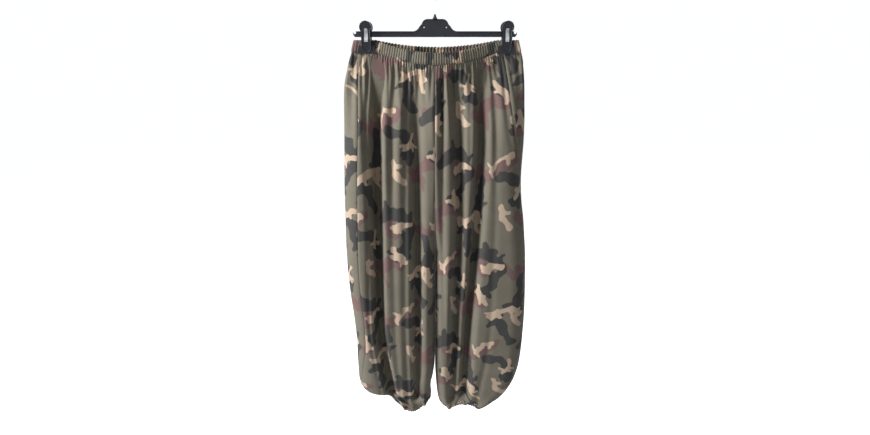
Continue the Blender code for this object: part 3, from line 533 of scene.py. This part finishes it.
def waistband(face):
    """Grid of points of one half of the waist casing, its flat places and its thickness."""
    rows, thick, flat = [], [], []
    steps = RUCHE_COLUMNS * WAIST_RUCHES + 1
    phase = np.linspace(0.0, WAIST_RUCHES, steps)
    rng = np.random.RandomState(WAIST_SEED[face])
    uneven_depth = np.interp(phase, np.arange(WAIST_RUCHES + 1), 0.75 + 0.5 * rng.rand(WAIST_RUCHES + 1))
    lean = np.interp(phase, np.arange(0, WAIST_RUCHES + 1, 2), 0.7 * (rng.rand(WAIST_RUCHES // 2 + 1) - 0.5))
    for line in CASING_LINES:
        rings = {}
        for leg in (LEFT, RIGHT):
            low = SECTIONS[leg][0]
            outer = low.outer + line.risen * (WAIST_END[leg] - low.outer)
            rings[leg] = half_ring(leg, low._replace(outer=outer))
        seams = {leg: seam_arc(leg, rings[leg], TOP_SECTION) for leg in (LEFT, RIGHT)}
        if face == FRONT:
            ends = (RIGHT, seams[RIGHT], 0.0), (LEFT, 0.0, seams[LEFT])
        else:
            ends = (LEFT, seams[LEFT], rings[LEFT].arc[-1]), (RIGHT, rings[RIGHT].arc[-1], seams[RIGHT])
        wave = ruche(phase + lean * (line.risen - 0.5)) * smooth(0.0, 0.5, phase)
        wave = wave * smooth(0.0, 0.5, WAIST_RUCHES - phase) * uneven_depth
        pieces = []
        used = 0
        for leg, arcs in two_runs(ends, steps):
            here = wave[used : used + len(arcs)]
            used += len(arcs)
            ring = rings[leg]
            free = 1.0 - held_by_clip(leg, np.interp(arcs, ring.arc, ring.x))
            points = on_ring(leg, ring, arcs, TOP_SECTION, line.ruches * here * free, line.thick)
            points[:, 2] += CASING_UP - CASING_LAP * (1.0 - line.risen)
            points[:, 2] += (WAIST_BAND + CASING_GAP) * line.risen - line.scallop * here
            pieces.append(points)
        rows.append(np.concatenate(pieces))
        thick.append(np.full(steps, line.thick))
        across = (phase / WAIST_RUCHES - 0.5) * 2 * BAND_CUT
        across = across if face == FRONT else -across
        flat.append(np.stack([across, np.full(steps, -line.risen * WAIST_BAND)], axis=1))
    return np.array(rows), np.array(flat), np.array(thick)


# The same for an ankle casing, with its heights counted from its top edge down.
CUFF_LINES = (
    CasingLine(0.00, 0.0010, 0.0000, 0.0010),
    CasingLine(0.07, 0.0010, 0.0000, 0.0012),
    CasingLine(0.16, 0.0012, 0.0000, 0.0024),
    CasingLine(0.35, 0.0014, 0.0000, 0.0029),
    CasingLine(0.60, 0.0014, 0.0000, 0.0029),
    CasingLine(0.84, 0.0014, 0.0004, 0.0025),
    CasingLine(0.95, 0.0013, 0.0008, 0.0017),
    CasingLine(1.00, 0.0011, 0.0010, 0.0009),
)


def cuff(leg):
    """Grid of points of one ankle casing, its flat places and its thickness."""
    section = SECTIONS[leg][-1]
    ring = half_ring(leg, section)
    steps = RUCHE_COLUMNS * CUFF_RUCHES
    arcs = np.linspace(0.0, ring.arc[-1], steps, endpoint=False)
    phase = np.linspace(0.0, CUFF_RUCHES, steps, endpoint=False)
    rng = np.random.RandomState(CUFF_SEED + leg)
    strength = 0.7 + 0.6 * rng.rand(CUFF_RUCHES + 1)
    strength[-1] = strength[0]
    wave = ruche(phase) * np.interp(phase, np.arange(CUFF_RUCHES + 1), strength)
    rows, flat, thick = [], [], []
    for line in CUFF_LINES:
        points = on_ring(leg, ring, arcs, section.height, line.ruches * wave)
        points[:, 2] -= CLOTH / 2 + CUFF_HEIGHT * line.risen - line.scallop * wave
        rows.append(points)
        across = leg * 2 * CUFF_CUT * phase / CUFF_RUCHES
        flat.append(np.stack([across, np.full(steps, CUFF_DOWN + CUFF_HEIGHT * line.risen)], axis=1))
        thick.append(np.full(steps, line.thick))
    return np.array(rows), np.array(flat), np.array(thick)


# ---------------------------------------------------------------- meshes


def grid_normals(points, ring):
    """The outward normal at each point of a grid, from its neighbours."""
    along = np.gradient(points, axis=0)
    if ring:
        across = (np.roll(points, -1, axis=1) - np.roll(points, 1, axis=1)) / 2
    else:
        across = np.gradient(points, axis=1)
    normal = np.cross(along, across)
    return normal / np.maximum(np.linalg.norm(normal, axis=2, keepdims=True), 1e-12)


def in_scene(name, data):
    """A new object with this data."""
    made = bpy.data.objects.new(name, data)
    bpy.context.scene.collection.objects.link(made)
    return made


def shell(name, points, flat, thick, material, ring=False):
    """A closed thin shell round a grid of points, with each point's flat place kept on it."""
    rows, columns, _ = points.shape
    normal = grid_normals(points, ring)
    half = (thick if np.ndim(thick) else np.full((rows, columns), thick))[:, :, None] / 2
    both = np.concatenate([(points + normal * half).reshape(-1, 3), (points - normal * half).reshape(-1, 3)])
    index = np.arange(rows * columns).reshape(rows, columns)
    if ring:
        index = np.concatenate([index, index[:, :1]], axis=1)
    a, b, c, d = index[:-1, :-1], index[:-1, 1:], index[1:, 1:], index[1:, :-1]
    back = rows * columns
    quads = [np.stack([a, d, c, b], axis=2).reshape(-1, 4)]
    quads.append(np.stack([a, b, c, d], axis=2).reshape(-1, 4) + back)
    rims = [index[0], index[-1][::-1]]
    if not ring:
        rims += [index[::-1, 0], index[:, -1]]
    for rim in rims:
        quads.append(np.stack([rim[:-1], rim[1:], rim[1:] + back, rim[:-1] + back], axis=1))
    quads = np.concatenate(quads)
    mesh = bpy.data.meshes.new(name)
    mesh.vertices.add(len(both))
    mesh.vertices.foreach_set("co", both.ravel())
    mesh.loops.add(quads.size)
    mesh.loops.foreach_set("vertex_index", quads.ravel())
    mesh.polygons.add(len(quads))
    mesh.polygons.foreach_set("loop_start", np.arange(0, quads.size, 4))
    mesh.polygons.foreach_set("loop_total", np.full(len(quads), 4))
    mesh.update(calc_edges=True)
    mesh.validate()
    mesh.polygons.foreach_set("use_smooth", np.ones(len(mesh.polygons), bool))
    mesh.materials.append(material)
    work = bmesh.new()
    work.from_mesh(mesh)
    bmesh.ops.recalc_face_normals(work, faces=work.faces)
    work.to_mesh(mesh)
    work.free()
    places = np.concatenate([flat.reshape(-1, 2)] * 2)
    kept = dict(zip(("cloth_u", "cloth_v"), places.T))
    kept.update(camouflage(places + PRINT_SHIFT[name.removesuffix("_cloth")]))
    for label, values in kept.items():
        mesh.attributes.new(label, "FLOAT", "POINT").data.foreach_set("value", values.astype(np.float32))
    return in_scene(name, mesh)


# ---------------------------------------------------------------- the print


# An ordinary camouflage of its own composition, in a half drop repeat. Each layer scatters its motifs over
# the repeat, and each motif is a wandering run of tapered strokes with short lobes off it. The layers lie
# over one another in this order. A row gives the motifs in a repeat, the strokes of a motif, a stroke's
# length and half width, and the lobes of a motif.
REPEAT_ACROSS = 0.155
REPEAT_DROP = 0.26
PRINT_SEED = 11
SCATTER = 0.618  # how far across the repeat each motif lies from the last
Layer = collections.namedtuple("Layer", "name motifs strokes length half lobes")
LAYERS = (
    Layer("brown", 5, 2, 0.034, 0.0135, 1),
    Layer("dark", 5, 3, 0.036, 0.0130, 2),
    Layer("tan", 7, 2, 0.031, 0.0070, 3),
)
Blot = collections.namedtuple("Blot", "layer u1 v1 u2 v2 half1 half2")
BLEND = 0.0050  # how near two strokes of a layer run together
# Where each piece was cut from the roll
PRINT_SHIFT = {
    "front_left_leg": (0.00, 0.00),
    "front_right_leg": (0.05, 0.11),
    "back_right_leg": (0.10, 0.02),
    "back_left_leg": (0.03, 0.19),
    "waistband_front": (0.02, 0.06),
    "waistband_back": (0.09, 0.15),
    "left_cuff": (0.12, 0.08),
    "right_cuff": (0.04, 0.23),
}


def motif_blots(layer, rng, u, v):
    """The strokes and lobes of one motif that starts here."""
    heading = rng.uniform(0.0, 2.0 * math.pi)
    half = layer.half * rng.uniform(0.8, 1.25)
    blots = []
    for _ in range(layer.strokes):
        length = layer.length * rng.uniform(0.7, 1.3)
        far_u, far_v = u + length * math.cos(heading), v + length * math.sin(heading)
        far_half = layer.half * rng.uniform(0.55, 1.25)
        blots.append(Blot(layer.name, u, v, far_u, far_v, half, far_half))
        u, v, half = far_u, far_v, far_half
        heading += rng.choice((-1, 1)) * rng.uniform(0.3, 1.0)
    for _ in range(layer.lobes):
        stem = blots[rng.randint(layer.strokes)]
        share = rng.uniform(0.1, 0.9)
        u = stem.u1 + share * (stem.u2 - stem.u1)
        v = stem.v1 + share * (stem.v2 - stem.v1)
        half = stem.half1 + share * (stem.half2 - stem.half1)
        side = math.atan2(stem.v2 - stem.v1, stem.u2 - stem.u1) + rng.choice((-1, 1)) * rng.uniform(0.8, 1.5)
        reach = half + layer.length * rng.uniform(0.25, 0.55)
        far_u, far_v = u + reach * math.cos(side), v + reach * math.sin(side)
        blots.append(Blot(layer.name, u, v, far_u, far_v, 0.75 * half, layer.half * rng.uniform(0.35, 0.6)))
    return blots


def scattered_blots():
    """Every stroke and lobe of one repeat."""
    rng = np.random.RandomState(PRINT_SEED)
    blots = []
    for layer in LAYERS:
        start = rng.rand()
        for k in range(layer.motifs):
            u = (start + SCATTER * k) % 1.0 * REPEAT_ACROSS
            v = (k + rng.uniform(0.2, 0.8)) / layer.motifs * 2.0 * REPEAT_DROP
            blots += motif_blots(layer, rng, u, v)
    return blots


BLOTS = scattered_blots()
SWELL_WAVES = 7
# How the motifs' edges wander: in long and in short waves, across and down the cloth
LONG_SWELL, SHORT_SWELL = 0.048, 0.018


def swell(u, v, wave_length, size, seed):
    """A smooth wandering value of about this size."""
    rng = np.random.RandomState(seed)
    total = np.zeros_like(u)
    for turn in rng.rand(SWELL_WAVES, 3):
        angle = 2.0 * math.pi * turn[0]
        number = 2.0 * math.pi / (wave_length * (0.7 + 0.8 * turn[1]))
        total += np.sin(number * (u * math.cos(angle) + v * math.sin(angle)) + 2.0 * math.pi * turn[2])
    return total * size / math.sqrt(SWELL_WAVES / 2)


def blot_depth(blot, u, v):
    """How far inside this blot each place is, or minus how far outside."""
    middle_u, middle_v = (blot.u1 + blot.u2) / 2, (blot.v1 + blot.v2) / 2
    across = np.round((u - middle_u) / REPEAT_ACROSS)
    du = u - blot.u1 - across * REPEAT_ACROSS
    dv = v - middle_v - across * REPEAT_DROP
    dv -= np.round(dv / (2.0 * REPEAT_DROP)) * 2.0 * REPEAT_DROP
    dv += middle_v - blot.v1
    run_u, run_v = blot.u2 - blot.u1, blot.v2 - blot.v1
    share = np.clip((du * run_u + dv * run_v) / (run_u**2 + run_v**2), 0.0, 1.0)
    half = blot.half1 + (blot.half2 - blot.half1) * share
    return half - np.hypot(du - share * run_u, dv - share * run_v)


def camouflage(places):
    """How far inside each layer of the print each flat place is."""
    u, v = places.T
    across = u + swell(u, v, LONG_SWELL, 0.0020, seed=1) + swell(u, v, SHORT_SWELL, 0.0008, seed=2)
    along = v + swell(u, v, LONG_SWELL, 0.0022, seed=3) + swell(u, v, SHORT_SWELL, 0.0008, seed=4)
    layers = {}
    for blot in BLOTS:
        depth = blot_depth(blot, across, along)
        if blot.layer in layers:
            so_far = layers[blot.layer]
            near = np.maximum(BLEND - np.abs(so_far - depth), 0.0) / BLEND
            depth = np.maximum(so_far, depth) + near**2 * BLEND / 4.0
        layers[blot.layer] = depth
    return layers


def linear(colour):
    """Linear values of an 8-bit sRGB colour."""
    share = np.array(colour) / 255.0
    return tuple(np.where(share <= 0.04045, share / 12.92, ((share + 0.055) / 1.055) ** 2.4)) + (1.0,)


OLIVE = linear((106, 101, 89))
BROWN = linear((104, 83, 80))
DARK = linear((58, 57, 56))
TAN = linear((176, 156, 136))
BLACK_PLASTIC = linear((29, 31, 38))
BRIGHT_STEEL = linear((226, 228, 232))
THREAD = linear((96, 90, 76))


def new_material(name):
    """A new material, its node tree and its shader."""
    material = bpy.data.materials.new(name)
    material.use_nodes = True
    return material, material.node_tree, material.node_tree.nodes["Principled BSDF"]


NOISE_RANGE = (0.3, 0.7)  # where most of a noise's values lie


def map_range(tree, value, source, target=(0.0, 1.0)):
    """The value, mapped from one range to the other and kept inside it."""
    made = tree.nodes.new("ShaderNodeMapRange")
    for label, limit in zip(("From Min", "From Max", "To Min", "To Max"), (*source, *target)):
        made.inputs[label].default_value = limit
    tree.links.new(value, made.inputs["Value"])
    return made.outputs["Result"]


def noise(tree, scale, detail, low, high):
    """A noise in metres of the object's own space, mapped to this range."""
    place = tree.nodes.new("ShaderNodeTexCoord")
    texture = tree.nodes.new("ShaderNodeTexNoise")
    texture.inputs["Scale"].default_value = scale
    texture.inputs["Detail"].default_value = detail
    tree.links.new(place.outputs["Object"], texture.inputs["Vector"])
    return map_range(tree, texture.outputs["Fac"], NOISE_RANGE, (low, high))


def math_node(tree, operation, first, second):
    """One sum of this kind on two values, each a number, a socket or None."""
    made = tree.nodes.new("ShaderNodeMath")
    made.operation = operation
    for socket, value in zip(made.inputs, (first, second)):
        if isinstance(value, float):
            socket.default_value = value
        elif value is not None:
            tree.links.new(value, socket)
    return made.outputs[0]


def bump(tree, height, distance, strength):
    made = tree.nodes.new("ShaderNodeBump")
    made.inputs["Distance"].default_value = distance
    made.inputs["Strength"].default_value = strength
    tree.links.new(height, made.inputs["Height"])
    return made.outputs["Normal"]


def shaded(tree, colour, share):
    """The colour times this share."""
    made = tree.nodes.new("ShaderNodeVectorMath")
    made.operation = "SCALE"
    tree.links.new(colour, made.inputs[0])
    tree.links.new(share, made.inputs["Scale"])
    return made.outputs[0]


def kept_value(tree, label):
    """A value that the mesh's points hold."""
    made = tree.nodes.new("ShaderNodeAttribute")
    made.attribute_name = label
    return made.outputs["Fac"]


def uneven_finish(tree, shader, tint, shade, rough):
    """A tint and a roughness that both vary over the surface."""
    base = tree.nodes.new("ShaderNodeRGB")
    base.outputs[0].default_value = tint
    tree.links.new(shaded(tree, base.outputs[0], shade), shader.inputs["Base Color"])
    tree.links.new(rough, shader.inputs["Roughness"])


RIB = 0.0011  # the knit's ribs, across the cloth
COURSE = RIB * 1.3  # and its courses, down it
INK_EDGE = 0.0007  # half the width over which one colour gives way to the next
MIX_SHARE, MIX_FIRST, MIX_SECOND, MIXED = 0, 6, 7, 2  # sockets of a Mix node that mixes colours


def cloth_material():
    """Printed knit: the layers of the print, faintly uneven dye, and the knit's ribs along the cloth."""
    material, tree, shader = new_material("printed_cloth")
    shader.inputs["Specular IOR Level"].default_value = 0.25
    shader.inputs["Sheen Weight"].default_value = 0.08
    shader.inputs["Sheen Roughness"].default_value = 0.5
    colour = None
    for label, tint in (("brown", BROWN), ("dark", DARK), ("tan", TAN)):
        share = map_range(tree, kept_value(tree, label), (-INK_EDGE, INK_EDGE))
        mix = tree.nodes.new("ShaderNodeMix")
        mix.data_type = "RGBA"
        mix.inputs[MIX_SECOND].default_value = tint
        if colour is None:
            mix.inputs[MIX_FIRST].default_value = OLIVE
        else:
            tree.links.new(colour, mix.inputs[MIX_FIRST])
        tree.links.new(share, mix.inputs[MIX_SHARE])
        colour = mix.outputs[MIXED]
    colour = shaded(tree, colour, noise(tree, scale=900.0, detail=3.0, low=0.90, high=1.08))
    colour = shaded(tree, colour, noise(tree, scale=26.0, detail=2.0, low=0.95, high=1.05))
    tree.links.new(colour, shader.inputs["Base Color"])
    rough = noise(tree, scale=60.0, detail=2.0, low=0.72, high=0.84)
    tree.links.new(rough, shader.inputs["Roughness"])
    ribs = None
    for label, size in (("cloth_u", RIB), ("cloth_v", COURSE)):
        turn = math_node(tree, "MULTIPLY", kept_value(tree, label), 2.0 * math.pi / size)
        wave = math_node(tree, "SINE", turn, None)
        ribs = wave if ribs is None else math_node(tree, "ADD", ribs, wave)
    tree.links.new(bump(tree, ribs, distance=0.00006, strength=0.45), shader.inputs["Normal"])
    return material


def plastic_material():
    """Moulded black plastic: a faint grain, uneven gloss, and a bluish cast."""
    material, tree, shader = new_material("black_plastic")
    shade = noise(tree, scale=45.0, detail=3.0, low=0.80, high=1.20)
    rough = noise(tree, scale=70.0, detail=4.0, low=0.30, high=0.46)
    uneven_finish(tree, shader, BLACK_PLASTIC, shade, rough)
    grain = noise(tree, scale=1500.0, detail=2.0, low=0.0, high=1.0)
    tree.links.new(bump(tree, grain, distance=0.00005, strength=0.35), shader.inputs["Normal"])
    return material


def steel_material():
    """Plated steel with fine marks all over."""
    material, tree, shader = new_material("bright_steel")
    shader.inputs["Metallic"].default_value = 1.0
    shade = noise(tree, scale=220.0, detail=3.0, low=0.92, high=1.02)
    rough = noise(tree, scale=400.0, detail=3.0, low=0.30, high=0.44)
    uneven_finish(tree, shader, BRIGHT_STEEL, shade, rough)
    marks = noise(tree, scale=1100.0, detail=2.0, low=0.0, high=1.0)
    tree.links.new(bump(tree, marks, distance=0.00001, strength=0.3), shader.inputs["Normal"])
    return material


def thread_material():
    """Sewing thread a little darker than the print's ground."""
    material, tree, shader = new_material("sewing_thread")
    shade = noise(tree, scale=1200.0, detail=2.0, low=0.8, high=1.1)
    rough = noise(tree, scale=300.0, detail=2.0, low=0.55, high=0.7)
    uneven_finish(tree, shader, THREAD, shade, rough)
    return material


def floor_material():
    """Pale and matt, and bright to the camera only, so that it throws no light up into the cloth."""
    material, tree, shader = new_material("floor_pale")
    shader.inputs["Base Color"].default_value = (0.62, 0.63, 0.64, 1.0)
    shader.inputs["Roughness"].default_value = 0.85
    shader.inputs["Emission Color"].default_value = (0.86, 0.88, 0.90, 1.0)
    seen = tree.nodes.new("ShaderNodeLightPath")
    tree.links.new(seen.outputs["Is Camera Ray"], shader.inputs["Emission Strength"])
    return material


# ---------------------------------------------------------------- threads, rims and the hanger


def strand(name, runs, radius, material, closed=False, sides=0):
    """One curve piece with a spline through each run of points."""
    curve = bpy.data.curves.new(name, "CURVE")
    curve.dimensions = "3D"
    curve.bevel_depth = radius
    curve.bevel_resolution = sides
    curve.use_fill_caps = not closed
    for run in runs:
        spline = curve.splines.new("POLY")
        spline.points.add(len(run) - 1)
        for point, place in zip(spline.points, run):
            point.co = (*place, 1.0)
        spline.use_cyclic_u = closed
    curve.materials.append(material)
    made = in_scene(name, curve)
    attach(made, "root")
    return made


STITCH_HALF = 0.00028
STITCH_PROUD = 0.0001
CUFF_STITCH_ROW, WAIST_STITCH_ROW = 1, 8  # of a casing's lines


def stitching(name, points, thick, row, ring, thread):
    """Two stitches to a ruche along one row of a casing, lying on its outside."""
    outside = (points + grid_normals(points, ring) * (thick[:, :, None] / 2 + STITCH_PROUD))[row]
    pitch = RUCHE_COLUMNS // 2
    runs = [outside[start : start + pitch] for start in range(1, len(outside) - pitch, pitch)]
    strand(name, runs, STITCH_HALF, thread)


def arc(centre_x, centre_z, radius, start, end, steps):
    """Points on an arc, from one angle to the other in degrees."""
    angles = np.radians(np.linspace(start, end, steps))
    return [(centre_x + radius * math.cos(a), centre_z + radius * math.sin(a)) for a in angles]


RIM_IN = 0.0017  # how far a rim runs inside its edge
RIM_HALF = 0.0009


def lever_rim(leg, face):
    """The raised line round a clip's head and tongue, on its leaning outer face."""
    out = -1 if face == FRONT else 1
    waist = math.degrees(math.acos(LEVER_NECK / LEVER_HEAD))
    path = arc(0.0, LEVER_HEAD_UP, LEVER_HEAD - RIM_IN, -waist, 180 + waist, 28)
    path += arc(0.0, LEVER_FOOT_UP, LEVER_FOOT - RIM_IN, 180, 360, 18)
    lean = Matrix.Rotation(-out * LEVER_LEAN, 3, "X")
    base = Vector((leg * CLIP_X[leg], out * (JAW_GAP + TONGUE_BACK + LEVER_THICK / 2), CLIP_BOTTOM))
    return [tuple(base + lean @ Vector((x, out * LEVER_THICK / 2, z))) for x, z in path]


def plate_rim():
    """The raised line inside the edge of the bar's middle plate."""
    side = arc(PLATE_CORNER_X, PLATE_TOP - PLATE_CORNER, PLATE_CORNER - RIM_IN, 90, 15, 9)
    side += arc(PLATE_FILLET_X, BAR_TOP + PLATE_FILLET, PLATE_FILLET + RIM_IN, 205, 252, 8)
    path = [(-x, z) for x, z in side[::-1]] + side
    return [(x, -BAR_WEB / 2, z) for x, z in path]


def make_hanger():
    """Better materials for the hanger's solids, and the rims raised on them."""
    plastic, steel = plastic_material(), steel_material()
    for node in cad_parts:
        if node == "hanger_bar" or "_clip_front" in node or "_clip_back" in node:
            bpy.data.objects[node].material_slots[0].material = plastic
        elif node == "hanger_hook" or node.endswith("_spring"):
            bpy.data.objects[node].material_slots[0].material = steel
    for leg in (LEFT, RIGHT):
        for face in (FRONT, BACK):
            name = f"{SIDE_NAME[leg]}_clip_{face}_rim"
            strand(name, [lever_rim(leg, face)], RIM_HALF, plastic, True, 2)
    strand("hanger_plate_rim", [plate_rim()], RIM_HALF, plastic, False, 2)


def make_cloth():
    """The four leg panels, the casings with their stitching, and the cut of each panel."""
    cloth, thread = cloth_material(), thread_material()
    panels, cut = {}, {}
    for leg in (LEFT, RIGHT):
        rows, along = section_rows(leg)
        for face in (FRONT, BACK):
            node = f"{face}_{SIDE_NAME[leg]}_leg"
            points, flat = leg_panel(leg, face, rows, along)
            widths = np.ptp(flat[:, :, 0], axis=1)
            cut[face, leg] = np.array([widths.max(), along[-1], np.trapz(widths, along)])
            sheet = shell(f"{node}_cloth", points, flat, SHEET_WALL, cloth)
            panels[face, leg] = dress(sheet, node)
    for leg in (LEFT, RIGHT):
        node = f"{SIDE_NAME[leg]}_cuff"
        points, flat, thick = cuff(leg)
        hem = shell(f"{node}_cloth", points, flat, thick, cloth, ring=True)
        dress(hem, node)
        stitching(f"{node}_stitching", points, thick, CUFF_STITCH_ROW, True, thread)
    for face in (FRONT, BACK):
        node = f"waistband_{face}"
        points, flat, thick = waistband(face)
        hem = shell(f"{node}_cloth", points, flat, thick, cloth)
        dress(hem, node)
        stitching(f"{node}_stitching", points, thick, WAIST_STITCH_ROW, False, thread)


def dress(piece, node):
    """The piece in place of its node, or of the two solids that hold a left panel."""
    parted = node in ("front_left_leg", "back_left_leg")
    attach(piece, "root")
    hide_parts(*([f"{node}_upper", f"{node}_lower"] if parted else [node]))
    return piece


# ---------------------------------------------------------------- the room and the camera


Light = collections.namedtuple("Light", "name place aim size power")
LIGHTS = (
    Light("window", (-2.2, -0.95, 0.7), (0, 0, -0.55), (0.9, 1.7), 142),
    Light("fill", (1.9, -2.0, -0.3), (0, 0, -0.6), (1.5, 2.0), 8),
    Light("back_fill", (0.8, 2.2, 0.2), (0, 0, -0.55), (2.2, 2.0), 45),
)


def area_light(name, place, aim, size, power):
    data = bpy.data.lights.new(name, "AREA")
    data.shape = "RECTANGLE"
    data.size, data.size_y = size
    data.energy = power
    light = in_scene(name, data)
    light.location = place
    light.rotation_euler = (Vector(aim) - Vector(place)).to_track_quat("-Z", "Y").to_euler()


FLOOR = -1.62
FLOOR_HALF = 6
# How bright the room is as it lights the cloth and as the camera sees it, and the share left in gloss
ROOM_LIGHT = 0.17
ROOM_SEEN = 1.05
ROOM_MIRRORED = 0.55


def make_room():
    """A pale room that the camera sees bright and that lights the cloth softly, a floor and the lights."""
    world = bpy.data.worlds.new("room")
    bpy.context.scene.world = world
    world.use_nodes = True
    tree = world.node_tree
    seen = tree.nodes.new("ShaderNodeLightPath")
    mirrored = math_node(tree, "MULTIPLY", seen.outputs["Is Glossy Ray"], ROOM_MIRRORED)
    bright = math_node(tree, "MAXIMUM", seen.outputs["Is Camera Ray"], mirrored)
    strength = tree.nodes.new("ShaderNodeMix")
    dim, bright_end = strength.inputs[2], strength.inputs[3]
    dim.default_value, bright_end.default_value = ROOM_LIGHT, ROOM_SEEN
    tree.links.new(bright, strength.inputs[0])
    tree.links.new(strength.outputs[0], tree.nodes["Background"].inputs["Strength"])
    tree.nodes["Background"].inputs["Color"].default_value = (0.95, 0.97, 1.0, 1.0)
    mesh = bpy.data.meshes.new("floor")
    corners = ((-1, -1), (1, -1), (1, 1), (-1, 1))
    mesh.from_pydata([(x * FLOOR_HALF, y * FLOOR_HALF, FLOOR) for x, y in corners], [], [(0, 1, 2, 3)])
    mesh.materials.append(floor_material())
    in_scene("floor", mesh)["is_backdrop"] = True
    for light in LIGHTS:
        area_light(*light)


CAMERA_PLACE = (0.0, -1.14, -0.135)
CAMERA_LOOKS_DOWN = 20.0  # degrees
LENS, SENSOR = 19.53, 36.0  # millimetres


def make_camera():
    """The photograph's viewing angle."""
    data = bpy.data.cameras.new("camera")
    data.lens = LENS
    data.sensor_width = SENSOR
    data.clip_start = 0.01
    camera = in_scene("camera", data)
    camera.location = CAMERA_PLACE
    camera.rotation_euler = (math.radians(90.0 - CAMERA_LOOKS_DOWN), 0.0, 0.0)
    bpy.context.scene.camera = camera
    bpy.context.scene.view_settings.view_transform = "Standard"


def write_bounds(stage, sizes):
    low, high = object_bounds()
    sizes[stage] = {"low": [float(x) for x in low], "high": [float(x) for x in high]}


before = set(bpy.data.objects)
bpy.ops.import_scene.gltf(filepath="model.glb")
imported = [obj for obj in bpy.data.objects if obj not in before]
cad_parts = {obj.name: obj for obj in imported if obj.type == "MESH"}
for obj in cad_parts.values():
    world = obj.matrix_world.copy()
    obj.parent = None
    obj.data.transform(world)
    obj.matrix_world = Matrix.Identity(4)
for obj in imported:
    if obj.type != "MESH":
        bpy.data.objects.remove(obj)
sizes = {}
write_bounds("solids", sizes)
make_cloth()
make_hanger()
make_room()
make_camera()
write_bounds("dressed", sizes)
